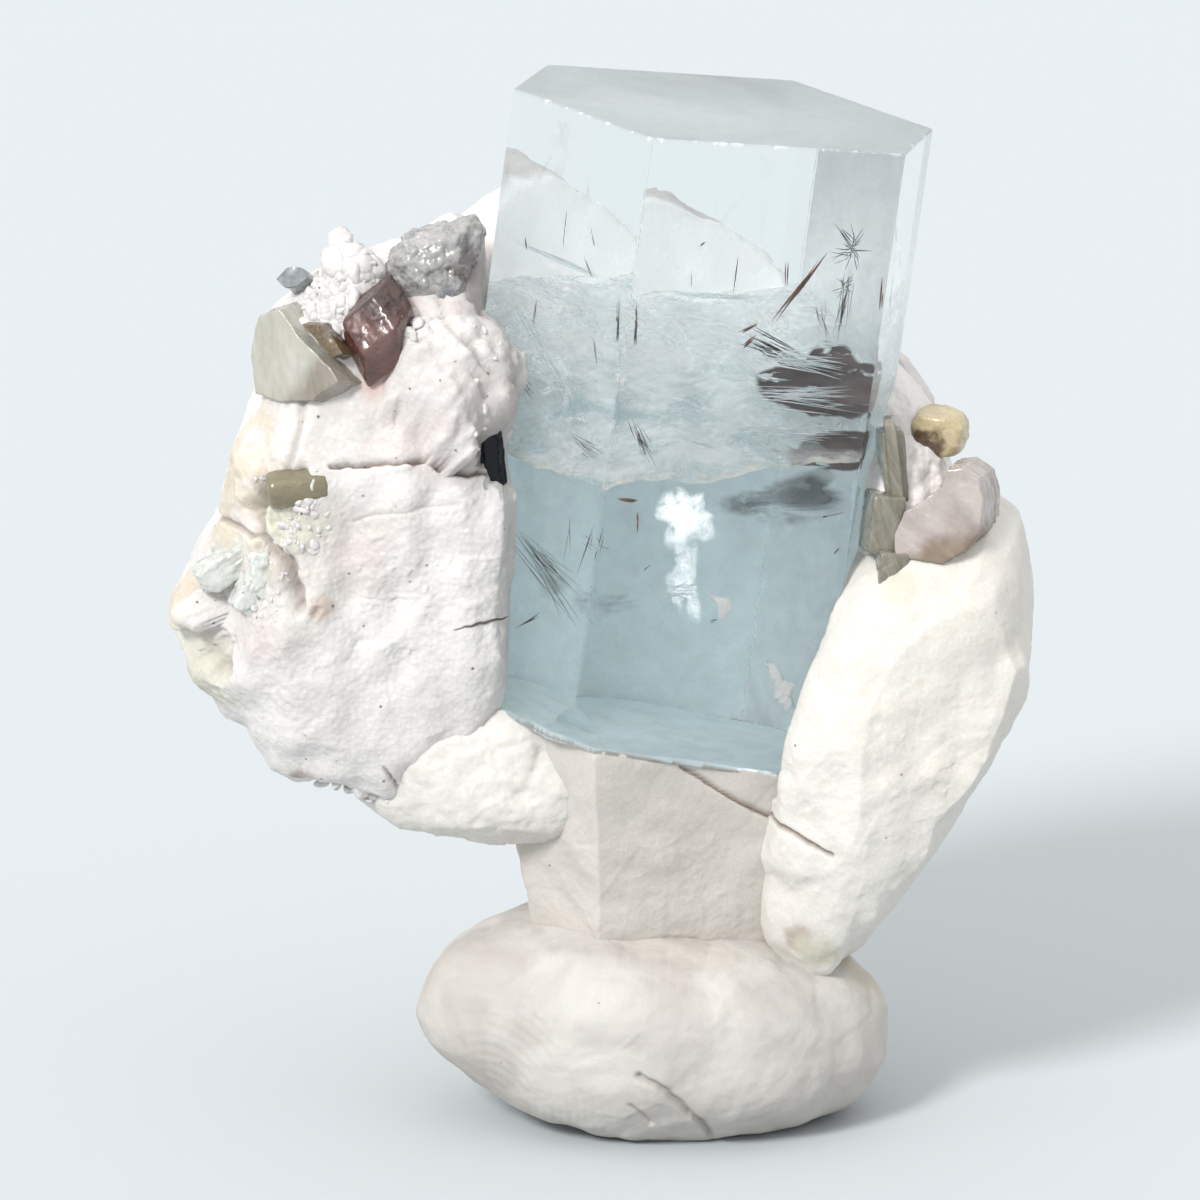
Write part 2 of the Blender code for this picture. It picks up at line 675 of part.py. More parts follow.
def main():
    """Builds the specimen."""
    clear_scene()
    shop = Workshop()
    aquamarine = shop.part("aquamarine_crystal", prism_mesh())
    crystal_room = shop.clearance(aquamarine)
    cut(aquamarine, [
        shop.helper("top_chip", chip_mesh(*TOP_CHIP)),
        shop.helper("foot_chip", chip_mesh(*FOOT_CHIP)),
    ])
    small = make_small_crystals(shop)
    small_rooms = [shop.clearance(crystal) for crystal in small]

    albite = shop.part("albite_matrix", lump_mesh(LEFT_MASS))
    left_room = shop.clearance(albite)
    wall = shop.helper("back_wall", lump_mesh(BACK_WALL))
    wall_room = shop.clearance(wall)
    fill = shop.helper("back_fill", lump_mesh(BACK_FILL))
    fill_room = shop.clearance(fill)
    foot_fill = shop.helper("foot_fill", lump_mesh(FOOT_FILL))
    foot_fill_room = shop.clearance(foot_fill)
    cheek = shop.helper("cheek", knob_mesh(*CHEEK))
    knobs = [shop.helper(f"knob_{i}", knob_mesh(*knob)) for i, knob in enumerate(KNOBS)]
    pits = [shop.helper(f"pit_{i}", chip_mesh(*pit)) for i, pit in enumerate(PITS)]
    unite(albite, [wall, fill, foot_fill, cheek, *knobs])
    cut(albite, [crystal_room, *pits, *small_rooms])

    feldspar = shop.part("feldspar_block", lump_mesh(NECK))
    neck_room = shop.clearance(feldspar)
    wing = shop.helper("wing", lump_mesh(WING))
    wing_room = shop.clearance(wing)
    unite(feldspar, [wing, shop.helper("ledge", lump_mesh(LEDGE))])
    rock_rooms = [left_room, wall_room, fill_room, foot_fill_room, shop.clearance(cheek)]
    cut(feldspar, [crystal_room, *rock_rooms, *small_rooms])

    putty = shop.part("putty_base", lump_mesh(PUTTY, floor=0.0))
    cut(putty, [neck_room, wing_room])


main()
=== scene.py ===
"""Looks of an aquamarine specimen: a clear prism in white rock, standing on a lump of putty.

Shapes are worked out in millimetres and written in metres. Most pieces are radial surfaces:
each point lies at a distance from the piece's middle that is a function of its direction,
sampled over the six sides of a cube. The crystal is a prism with chips broken out of it, and
its veils, needles and flecks are pieces of their own inside it.
"""

import logging
import math
from dataclasses import dataclass, field
from enum import Enum
from functools import lru_cache

import bmesh
import bpy
import numpy as np
from mathutils import Euler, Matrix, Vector


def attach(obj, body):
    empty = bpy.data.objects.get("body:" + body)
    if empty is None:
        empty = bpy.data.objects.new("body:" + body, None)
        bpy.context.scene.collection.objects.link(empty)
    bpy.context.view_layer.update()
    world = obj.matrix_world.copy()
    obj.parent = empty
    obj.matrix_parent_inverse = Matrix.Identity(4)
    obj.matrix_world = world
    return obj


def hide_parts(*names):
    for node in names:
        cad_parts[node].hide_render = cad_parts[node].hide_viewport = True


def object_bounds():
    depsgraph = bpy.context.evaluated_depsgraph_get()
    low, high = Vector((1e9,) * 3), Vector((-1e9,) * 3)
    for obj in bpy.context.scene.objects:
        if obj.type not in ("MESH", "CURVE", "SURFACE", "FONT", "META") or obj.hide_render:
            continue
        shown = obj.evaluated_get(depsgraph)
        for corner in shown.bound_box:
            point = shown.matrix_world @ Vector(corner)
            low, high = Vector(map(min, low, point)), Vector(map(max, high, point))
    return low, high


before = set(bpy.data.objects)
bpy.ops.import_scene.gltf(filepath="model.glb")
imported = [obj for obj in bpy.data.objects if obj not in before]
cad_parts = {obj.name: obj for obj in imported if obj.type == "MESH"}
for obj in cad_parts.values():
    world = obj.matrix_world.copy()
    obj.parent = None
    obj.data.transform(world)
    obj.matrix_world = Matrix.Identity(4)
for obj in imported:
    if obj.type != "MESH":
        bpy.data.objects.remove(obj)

MM = 0.001
ROOT = "root"
CAD_BOX = [list(corner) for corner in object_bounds()]
CAD_LOW, CAD_HIGH = np.array(CAD_BOX) / MM
TINY = 1e-9
BERYL_IOR = 1.577
NEEDLE_SIDES = 5

# How the front view is taken, in millimetres and degrees.
VIEW_TARGET = (-2.4, 0.0, 31.8)
VIEW_ELEVATION = 14.0
VIEW_DISTANCE = 430.0

# How the seeded noise and a lump's rim, chips and waves are laid.
NOISE_CELLS = 32  # the noise repeats after this many cells
RIM_SOFTNESS = 32  # degrees over which a rim's corners fade towards the front and the back
RIM_SAMPLES = 9
RIM_HOLD = 8  # the higher, the closer to the rim its corners stay
CHIP_HOLD = 16  # the higher, the closer to the rim the chips reach
CHIP_SINK = (0.2, 1.3)  # shares of the chip depth that a chip may be sunk by
GOLDEN_ANGLE = 2.39996  # radians between neighbours of a spiral
SPIRAL_REACH = 1.2  # chips spread from the front's middle this far towards the rim
PROBE = 0.12  # half the span over which a chip's slope is read
PROBE_SIDE = (0.31, 0.52, 0.80)  # a heading that no chip has
WAVE_LENGTH = 9.0
WAVE_FINER, WAVE_WEAKER, WAVE_SHARE = 1.9, 1.7, 2.6  # from one octave to the next

# How a rock's surface is found and broken up.
FARTHEST = 60.0  # beyond any lump
HALVINGS = 18  # steps that close in on a lump's surface
FRONT_PART = 2.0  # grooves reach this far behind a lump's middle
KNOB_NOISE, PIT_NOISE, STAIN_NOISE = (1.6, 0.35), (0.8, 0.3), (1.8, 0.35)  # cell size and height
PIT_SHADE = (2.0, 0.5)  # painted shade: a pit cut this deep is painted this dark
HALO_END = 0.05  # depth under the prism's face at which a soft contact, with its painted glow, is full
SWAY_CELL, SWAY_STEP = 1.5, 31  # cell and step of the noise that sways knobs and pits

# How the small pieces are fitted in, in millimetres or as a share.
PLATE_TAPER = 0.88  # a plate's front face against its back face
VEIL_ROOM = 0.25  # between a veil and the prism's faces
GRAIN_ROOM = 0.2  # between a grain of the crust and the prism
SPOT_PULL = 5.0  # how much it counts that a surface point is close to its spot of the view
NEAR_PULL = 0.5  # how much it counts that the point is near the eye

log = logging.getLogger("specimen")

Triple = tuple[float, float, float]
Pair = tuple[float, float]
Array = np.ndarray
Surface = tuple[Array, Array]  # points, and faces as numbers of points
Socket = bpy.types.NodeSocket
Value = Socket | Triple | float


# ---------------------------------------------------------------------------------------
# Numbers over space


def unit(vectors: Array) -> Array:
    """Scales each row to a length of one."""
    return vectors / np.linalg.norm(vectors, axis=-1, keepdims=True)


def smooth_step(values: Array, low: float, high: float) -> Array:
    """Rises from 0 at low to 1 at high along a smooth S."""
    part = np.clip((values - low) / (high - low), 0, 1)
    return part * part * (3 - 2 * part)


class Grain:
    """Seeded noise over space: random numbers on a lattice, blended between its corners."""

    def __init__(self, seed: int) -> None:
        """Draws the lattice.

        Args:
            seed: Number that fixes every value.
        """
        rng = np.random.default_rng(seed)
        shape = (NOISE_CELLS, NOISE_CELLS, NOISE_CELLS)
        self.table = rng.uniform(-1, 1, shape)
        self.spots = rng.uniform(0, 1, (*shape, 3))
        self.leans = rng.normal(size=(*shape, 3))
        self.turns = [np.linalg.qr(rng.normal(size=(3, 3)))[0] for _ in range(8)]

    def smooth(self, points: Array, size: float) -> Array:
        """Blends the eight lattice corners round each point by a quintic.

        Args:
            points: Places, one a row.
            size: Length of a lattice cell.

        Returns:
            Values from -1 to 1.
        """
        place = points / size
        low = np.floor(place).astype(int)
        part = place - low
        part = part**3 * (part * (part * 6 - 15) + 10)
        total = np.zeros(len(points))
        for corner in np.ndindex(2, 2, 2):
            weight = np.prod(np.where(corner, part, 1 - part), axis=1)
            at = (low + corner) % NOISE_CELLS
            total += weight * self.table[at[:, 0], at[:, 1], at[:, 2]]
        return total

    def layered(self, points: Array, size: float, layers: int = 4, keep: float = 0.5) -> Array:
        """Adds layers of the noise, each half the size and turned another way.

        Args:
            points: Places, one a row.
            size: Length of the first layer's cells.
            layers: Number of layers.
            keep: Height of a layer against the one before.

        Returns:
            Values of about -1 to 1.
        """
        total = np.zeros(len(points))
        for layer in range(layers):
            turned = points @ self.turns[layer]
            total += keep**layer * self.smooth(turned, size / 2**layer)
        return total

    def shifts(self, points: Array, size: float, step: int = 9) -> Array:
        """A shift in X, Y and Z for each point: three layers of noise, read a step apart."""
        return np.stack([self.layered(points + step * part, size, 3) for part in range(3)], 1)

    def facets(self, points: Array, size: float) -> tuple[Array, Array]:
        """Parts space into cells round jittered spots and gives each cell its own slope.

        Args:
            points: Places, one a row.
            size: Mean width of a cell.

        Returns:
            The height of the cell's sloping plane at each point, and how far the point is
            from the cell's border, both in cell widths.
        """
        place = points / size
        base = np.floor(place).astype(int)
        nearest = np.full(len(points), np.inf)
        second = np.full(len(points), np.inf)
        height = np.zeros(len(points))
        for offset in np.ndindex(3, 3, 3):
            cell = base + offset - 1
            at = cell % NOISE_CELLS
            away = place - cell - self.spots[at[:, 0], at[:, 1], at[:, 2]]
            gap = (away * away).sum(axis=1)
            slope = (away * self.leans[at[:, 0], at[:, 1], at[:, 2]]).sum(axis=1)
            closer = gap < nearest
            second = np.where(closer, nearest, np.minimum(second, gap))
            nearest = np.where(closer, gap, nearest)
            height = np.where(closer, slope, height)
        return height, np.sqrt(second) - np.sqrt(nearest)


def tilted(tilt: Triple) -> Array:
    """The matrix that turns by these degrees about X, Y and Z."""
    return np.array(Euler([math.radians(angle) for angle in tilt]).to_matrix())


# ---------------------------------------------------------------------------------------
# Convex shapes that rays cross


@dataclass(frozen=True)
class Planes:
    """A convex shape bounded by planes: normals @ point <= heights."""

    normals: Array
    heights: Array

    def crossing(self, origin: Array, directions: Array) -> tuple[Array, Array]:
        """Where each ray from the origin enters and leaves the shape.

        Args:
            origin: Start of the rays.
            directions: Unit directions, one a row.

        Returns:
            Distances in and out; a ray that misses has its way in after its way out.
        """
        along = directions @ self.normals.T
        along = np.where(np.abs(along) < TINY, TINY, along)
        steps = (self.heights - self.normals @ origin) / along
        enter = np.where(along < 0, steps, -np.inf).max(axis=1)
        leave = np.where(along > 0, steps, np.inf).min(axis=1)
        return enter, leave

    def grown(self, gap: float) -> "Planes":
        """The shape with every plane moved out by the gap."""
        return Planes(self.normals, self.heights + gap)

    def depth(self, points: Array) -> Array:
        """How far inside the nearest plane each point lies; negative outside."""
        return (self.heights - points @ self.normals.T).min(axis=1)


@dataclass(frozen=True)
class Egg:
    """An ellipsoid."""

    centre: Triple
    radii: Triple

    def crossing(self, origin: Array, directions: Array) -> tuple[Array, Array]:
        """Where each ray enters and leaves, from the quadratic of the scaled ball.

        Args:
            origin: Start of the rays.
            directions: Unit directions, one a row.

        Returns:
            Distances in and out; a ray that misses has its way in after its way out.
        """
        across = directions / np.array(self.radii)
        start = (origin - np.array(self.centre)) / np.array(self.radii)
        square = (across * across).sum(axis=1)
        half = across @ start
        inside = half * half - square * (start @ start - 1)
        root = np.sqrt(np.maximum(inside, 0))
        enter = np.where(inside > 0, (-half - root) / square, np.inf)
        leave = np.where(inside > 0, (-half + root) / square, -np.inf)
        return enter, leave


def block(size: Triple, centre: Triple, tilt: Triple) -> Planes:
    """A box as planes.

    Args:
        size: Width, thickness and height.
        centre: Middle of the box.
        tilt: Degrees about X, Y and Z.

    Returns:
        The six planes.
    """
    normals = np.concatenate((np.eye(3), -np.eye(3))) @ tilted(tilt).T
    half = np.tile(np.array(size) / 2, 2)
    return Planes(normals, half + normals @ np.array(centre))


def six_sided(width: float, length: float, centre: Triple, tilt: Triple) -> Planes:
    """A hexagonal prism as planes, its width from corner to corner.

    Args:
        width: Distance between opposite corners.
        length: Length along its axis.
        centre: Middle of the prism.
        tilt: Degrees about X, Y and Z.

    Returns:
        The eight planes.
    """
    angles = np.radians(np.arange(6) * 60 + 30)
    sides = np.stack((np.cos(angles), np.sin(angles), np.zeros(6)), axis=1)
    normals = np.concatenate((sides, [[0, 0, 1], [0, 0, -1]])) @ tilted(tilt).T
    flat = width / 2 * math.cos(math.radians(30))
    half = np.array([flat] * 6 + [length / 2] * 2)
    return Planes(normals, half + normals @ np.array(centre))


# ---------------------------------------------------------------------------------------
# Meshes


@lru_cache(maxsize=None)
def cube_ball(cells: int) -> Surface:
    """A ball of six square grids, bent so that their cells are about equal.

    On each side of a cube the two grid parameters run over equal angles, and the tangent of
    the angle is the place on the side. Shared edges are welded.

    Args:
        cells: Faces along each side of the cube.

    Returns:
        Unit directions, one a row, and quads that face outwards.
    """
    steps = np.arange(cells + 1) * 2 - cells
    first, second = np.meshgrid(steps, steps, indexing="ij")
    number = np.arange((cells + 1) ** 2).reshape(cells + 1, cells + 1)
    corners = (number[:-1, :-1], number[1:, :-1], number[1:, 1:], number[:-1, 1:])
    quads = np.stack(corners, axis=-1).reshape(-1, 4)
    lattice, faces = [], []
    for axis in range(3):
        for side in (1, -1):
            points = np.empty((*first.shape, 3), int)
            points[..., axis] = side * cells
            points[..., (axis + 1) % 3] = first if side > 0 else second
            points[..., (axis + 2) % 3] = second if side > 0 else first
            faces.append(quads + len(lattice) * number.size)
            lattice.append(points.reshape(-1, 3))
    joined, place = np.unique(np.concatenate(lattice), axis=0, return_inverse=True)
    directions = unit(np.tan(joined / cells * math.pi / 4))
    return directions, place.reshape(-1)[np.concatenate(faces)]


def leaning_ball(cells: int, lean: float) -> Surface:
    """The ball with lean added along -Y before its directions are made unit: finer in front."""
    directions, quads = cube_ball(cells)
    return unit(directions + (0, -lean, 0)), quads


def fill_mesh(name: str, points: Array, faces: Array) -> bpy.types.Mesh:
    """A mesh from arrays.

    Args:
        name: Its name.
        points: Vertices in millimetres.
        faces: Vertex numbers, one face a row, all with as many corners.

    Returns:
        The mesh, in metres and smooth.
    """
    mesh = bpy.data.meshes.new(name)
    sides = faces.shape[1]
    mesh.vertices.add(len(points))
    mesh.vertices.foreach_set("co", (points * MM).astype(np.float32).ravel())
    mesh.loops.add(faces.size)
    mesh.loops.foreach_set("vertex_index", faces.astype(np.int32).ravel())
    mesh.polygons.add(len(faces))
    mesh.polygons.foreach_set("loop_start", np.arange(len(faces), dtype=np.int32) * sides)
    mesh.polygons.foreach_set("use_smooth", np.ones(len(faces), bool))
    mesh.update(calc_edges=True)
    mesh.validate()
    return mesh


def tubes(paths: Array, radii: Array) -> Surface:
    """Closed spindles along many paths at once: a ring of points round each path point.

    Args:
        paths: Needles x points x 3, each path nearly straight.
        radii: Needles x points.

    Returns:
        Points and triangles of all the spindles.
    """
    count, length, _ = paths.shape
    sides = NEEDLE_SIDES
    along = unit(paths[:, -1] - paths[:, 0])
    helper = np.where(np.abs(along[:, 2:]) > 0.9, (1.0, 0.0, 0.0), (0.0, 0.0, 1.0))
    first = unit(np.cross(along, helper))
    second = np.cross(along, first)
    angles = np.arange(sides) * 2 * math.pi / sides
    right, up = np.cos(angles)[None, :, None], np.sin(angles)[None, :, None]
    ring = right * first[:, None] + up * second[:, None]
    points = paths[:, :, None] + ring[:, None] * radii[:, :, None, None]
    points = np.concatenate((points.reshape(count, -1, 3), paths[:, :1], paths[:, -1:]), axis=1)
    rows, turn = np.meshgrid(np.arange(length - 1), np.arange(sides), indexing="ij")
    after = (turn + 1) % sides
    low = rows * sides
    a, b = (low + turn).ravel(), (low + after).ravel()
    c, d = (low + sides + after).ravel(), (low + sides + turn).ravel()
    wall = np.concatenate((np.stack((a, b, c), 1), np.stack((a, c, d), 1)))
    ends, end = np.arange(sides), (np.arange(sides) + 1) % sides
    start_cap = np.stack((np.full(sides, length * sides), end, ends), 1)
    last = (length - 1) * sides
    end_cap = np.stack((np.full(sides, length * sides + 1), last + ends, last + end), 1)
    one = np.concatenate((wall, start_cap, end_cap))
    shift = np.arange(count)[:, None, None] * (length * sides + 2)
    return points.reshape(-1, 3), (one[None] + shift).reshape(-1, 3)


def closed_rings(rings: Array, first: Array, last: Array) -> Surface:
    """Rings of points joined one to the next and closed by a tip at both ends.

    Args:
        rings: Rings x points x 3, each ring walked the same way.
        first: Tip before the first ring.
        last: Tip after the last ring.

    Returns:
        Points, and triangles that face outwards.
    """
    rows, count = rings.shape[:2]
    row, turn = np.meshgrid(np.arange(rows - 1), np.arange(count), indexing="ij")
    after = (turn + 1) % count
    corners = ((row, turn), (row, after), (row + 1, after), (row + 1, turn))
    a, b, c, d = [(low * count + place).ravel() for low, place in corners]
    start = np.arange(count)
    end = (start + 1) % count
    top = (rows - 1) * count
    faces = np.concatenate((
        np.stack((a, b, c), 1),
        np.stack((a, c, d), 1),
        np.stack((np.full(count, rows * count), end, start), 1),
        np.stack((np.full(count, rows * count + 1), top + start, top + end), 1),
    ))
    points = np.concatenate((rings.reshape(-1, 3), first[None], last[None]))
    volume = np.linalg.det(points[faces] - points.mean(axis=0)).sum()
    return points, faces if volume > 0 else faces[:, ::-1]


def lens(outline: Array, rings: int, height: float) -> tuple[Array, Array, Array]:
    """A thin closed lens in its own XZ plane: half an ellipse, swept round the outline.

    Args:
        outline: Points round the rim, as x and z.
        rings: Number of rings over both faces.
        height: Half thickness in the middle.

    Returns:
        Points, with Y for the thickness, triangles, and each point's share of the way to the rim.
    """
    middle = outline.mean(axis=0)
    turns = np.linspace(0, math.pi, rings + 2)[1:-1]
    shares = np.sin(turns)
    flat = middle + (outline - middle)[None] * shares[:, None, None]
    thick = np.broadcast_to((-height * np.cos(turns))[:, None], flat.shape[:2])
    tips = [np.array((middle[0], side * height, middle[1])) for side in (-1, 1)]
    points, faces = closed_rings(np.stack((flat[..., 0], thick, flat[..., 1]), -1), *tips)
    return points, faces, np.concatenate((shares.repeat(len(outline)), (0, 0)))


def walked(corners: Array, steps: int) -> Array:
    """Points at equal steps along a closed outline.

    Args:
        corners: Corners of the outline, two numbers a row.
        steps: Number of points.

    Returns:
        The points.
    """
    closed = np.concatenate((corners, corners[:1]))
    lengths = np.concatenate(([0], np.cumsum(np.linalg.norm(np.diff(closed, axis=0), axis=1))))
    places = np.linspace(0, lengths[-1], steps + 1)[:-1]
    return np.stack([np.interp(places, lengths, closed[:, part]) for part in (0, 1)], 1)


def turned(points: Array, centre: Triple, tilt: Triple) -> Array:
    """The points turned about the origin by the tilt, in degrees, and moved to the centre."""
    return points @ tilted(tilt).T + np.array(centre)


class Node(Enum):
    """The CAD nodes that pieces stand for, which are also the record's material slots."""

    AQUAMARINE = "aquamarine_crystal"
    ALBITE = "albite_matrix"
    FELDSPAR = "feldspar_block"
    PUTTY = "putty_base"
    GARNET = "garnet"
    LEFT_PLATE = "muscovite_plate_left"
    WEDGE = "brown_wedge"
    GREY_QUARTZ = "grey_quartz"
    FLAKE = "grey_flake"
    OLIVE = "olive_crystal"
    GLASSY = "glassy_cluster"
    TOURMALINE = "black_tourmaline"
    DARK_MICA = "dark_mica"
    BLADES = "olive_blades"
    BOOK = "muscovite_book"
    YELLOW = "yellow_crystal"


@dataclass
class Made:
    """A mesh with its vertex attributes, ready to be dressed."""

    points: Array
    faces: Array
    tint: Array | None = None
    masks: dict[str, Array] = field(default_factory=dict)


def linked(name: str, data: bpy.types.ID) -> bpy.types.Object:
    """A new object in the scene.

    Args:
        name: Its name.
        data: Its mesh, light or camera.

    Returns:
        The object.
    """
    obj = bpy.data.objects.new(name, data)
    bpy.context.scene.collection.objects.link(obj)
    return obj


def add_piece(name: str, made: Made, material: bpy.types.Material, node: Node) -> None:
    """Puts a finished mesh, held inside the solids' box, into the scene.

    Args:
        name: Name of the piece.
        made: Its mesh and attributes.
        material: Its finish.
        node: CAD node that it stands for.
    """
    mesh = fill_mesh(name, np.clip(made.points, CAD_LOW, CAD_HIGH), made.faces)
    if made.tint is not None:
        colours = np.concatenate((made.tint, np.ones((len(made.tint), 1))), axis=1)
        tint = mesh.color_attributes.new("tint", "FLOAT_COLOR", "POINT")
        tint.data.foreach_set("color", colours.astype(np.float32).ravel())
    for mask, values in made.masks.items():
        layer = mesh.attributes.new(mask, "FLOAT", "POINT")
        layer.data.foreach_set("value", values.astype(np.float32))
    place_piece(name, mesh, material, node)


def place_piece(name: str, mesh: bpy.types.Mesh, material: bpy.types.Material, node: Node) -> None:
    """Makes the mesh an object that rides on the specimen, in its node's stead.

    Args:
        name: Name of the piece.
        mesh: Its mesh, in metres.
        material: Its finish.
        node: CAD node that it stands for.
    """
    obj = linked(name, mesh)
    obj.data.materials.append(material)
    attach(obj, ROOT)
    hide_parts(node.value)
    log.info("%s: %d faces", name, len(mesh.polygons))


# ---------------------------------------------------------------------------------------
# Rock forms shared with the solid model


def facing(azimuth: float, elevation: float) -> Array:
    """The unit vector of a heading.

    Args:
        azimuth: Degrees round, where 0 faces the front.
        elevation: Degrees up.

    Returns:
        The vector.
    """
    turn, rise = math.radians(azimuth), math.radians(elevation)
    return np.array(
        (math.sin(turn) * math.cos(rise), -math.cos(turn) * math.cos(rise), math.sin(rise))
    )


def waves(points: Array, seed: int, length: float, height: float) -> Array:
    """Adds sines of about this length that run across in seeded directions.

    Args:
        points: Places, one a row.
        seed: Number that fixes the directions and phases.
        length: Length of the longest waves.
        height: Their height.

    Returns:
        The height at each place.
    """
    rng = np.random.default_rng(seed)
    total = np.zeros(len(points))
    for octave in range(3):
        runs = rng.normal(size=(5, 3))
        runs *= 2 * math.pi / length * WAVE_FINER**octave / np.linalg.norm(runs, axis=1)[:, None]
        phases = rng.uniform(0, 2 * math.pi, 5)
        total += np.sin(points @ runs.T + phases).sum(axis=1) / (WAVE_SHARE * WAVE_WEAKER**octave)
    return total * height


def cut_flat(distance: Array, directions: Array, normals: Array, flats: Array) -> Array:
    """The distance along each direction, shortened where it would pass one of the flats."""
    towards = np.maximum(directions @ normals.T, TINY)
    return np.minimum(distance, (flats / towards).min(axis=1))


@dataclass(frozen=True)
class Lump:
    """A cushion of rock: a rim in the XZ plane, domed to the front and the back, then chipped."""

    centre: Triple
    rim: tuple[Pair, ...]
    front: float
    back: float
    squareness: float = 2.6
    cuts: tuple[Triple, ...] = ()
    chips: int = 0
    chip_depth: float = 0.5
    relief: float = 0.4
    seed: int = 1

    def rim_radius(self, angles: Array, softness: float = 0) -> Array:
        """Distance from the middle to the rim at each angle in the XZ plane.

        Args:
            angles: Angles from +X towards +Z.
            softness: Degrees to either side over which the rim is averaged.

        Returns:
            The distances.
        """
        offsets = np.array(self.rim) - (self.centre[0], self.centre[2])
        rim_angles = np.arctan2(offsets[:, 1], offsets[:, 0])
        radii = np.hypot(offsets[:, 0], offsets[:, 1])
        shifts = np.radians(np.linspace(-softness, softness, RIM_SAMPLES if softness else 1))
        samples = [np.interp(angles + turn, rim_angles, radii, period=2 * math.pi) for turn in shifts]
        return np.mean(samples, axis=0)

    def dome(self, directions: Array) -> Array:
        """Distance to the smooth cushion: a superellipse between the rim and the depth.

        Args:
            directions: Unit directions, one a row.

        Returns:
            The distances.
        """
        across = np.hypot(directions[:, 0], directions[:, 2])
        angles = np.arctan2(directions[:, 2], directions[:, 0])
        soft = self.rim_radius(angles, RIM_SOFTNESS)
        rim = soft + (self.rim_radius(angles) - soft) * across**RIM_HOLD
        depth = np.where(directions[:, 1] < 0, self.front, self.back)
        power = self.squareness
        spread = (across / rim) ** power + (np.abs(directions[:, 1]) / depth) ** power
        return spread ** (-1 / power)

    def chip_planes(self) -> tuple[Array, Array]:
        """Planes that touch the dome at points of a jittered spiral, sunk a little.

        Returns:
            Unit normals and distances from the middle.
        """
        normals, distances = [], []
        rng = np.random.default_rng(self.seed)
        for chip in range(self.chips):
            height = 1 - SPIRAL_REACH * (chip // 2 + 0.5) / self.chips
            height *= 1 if chip % 2 else -1
            turn = GOLDEN_ANGLE * chip + rng.uniform(-0.5, 0.5)
            level = math.sqrt(1 - height * height)
            towards = np.array((level * math.cos(turn), height, level * math.sin(turn)))
            side = unit(np.cross(towards, PROBE_SIDE))
            other = np.cross(towards, side)
            probes = unit(towards + PROBE * np.array((side * 0, side, -side, other, -other)))
            points = probes * self.dome(probes)[:, None]
            normal = unit(np.cross(points[1] - points[2], points[3] - points[4]))
            normal *= np.sign(normal @ towards)
            normals.append(normal)
            distances.append(normal @ points[0] - self.chip_depth * rng.uniform(*CHIP_SINK))
        return np.array(normals), np.array(distances)

    def reach(self, directions: Array) -> Array:
        """Distance to the surface: the dome, its chips fading towards the rim, its cuts and waves.

        Args:
            directions: Unit directions, one a row.

        Returns:
            The distances.
        """
        distance = self.dome(directions)
        if self.chips:
            chipped = cut_flat(distance, directions, *self.chip_planes())
            across = np.hypot(directions[:, 0], directions[:, 2])
            distance = chipped + (distance - chipped) * across**CHIP_HOLD
        if self.cuts:
            normals = np.array([facing(azimuth, elevation) for azimuth, elevation, _ in self.cuts])
            distance = cut_flat(distance, directions, normals, np.array([cut[2] for cut in self.cuts]))
        points = directions * distance[:, None]
        return distance + waves(points, self.seed, WAVE_LENGTH, self.relief)


@dataclass(frozen=True)
class Groove:
    """A crack or a furrow that follows a line drawn on the front."""

    path: tuple[Pair, ...]
    width: float
    depth: float
    wander: float = 0.25
    # share of the darkening laid along the line: dirt in the crack, and painted shade
    dirt_and_shade: float = 1.0

    def share(self, points: Array, grain: Grain) -> Array:
        """1 on the line and 0 away from it: a bell of the distance to the nearest stretch.

        Args:
            points: Places, one a row.
            grain: Noise that makes the line wander.

        Returns:
            The share of the full depth at each place.
        """
        flat = points[:, [0, 2]]
        shift = np.stack((grain.layered(points, 1.7, 3), grain.layered(points + 50, 1.7, 3)), 1)
        flat = flat + shift * self.wander
        nearest = np.full(len(points), np.inf)
        for start, end in zip(self.path[:-1], self.path[1:]):
            start, run = np.array(start), np.array(end) - np.array(start)
            part = np.clip((flat - start) @ run / (run @ run), 0, 1)
            nearest = np.minimum(nearest, np.linalg.norm(flat - start - part[:, None] * run, axis=1))
        return np.exp(-((nearest / self.width) ** 2))


@dataclass(frozen=True)
class TintPatch:
    """A tinted patch, full at its centre and fading to nothing at its radius: mostly a real stain, and
    painted shade where marked.
    """

    centre: Triple
    radius: float
    colour: Triple
    strength: float = 1.0


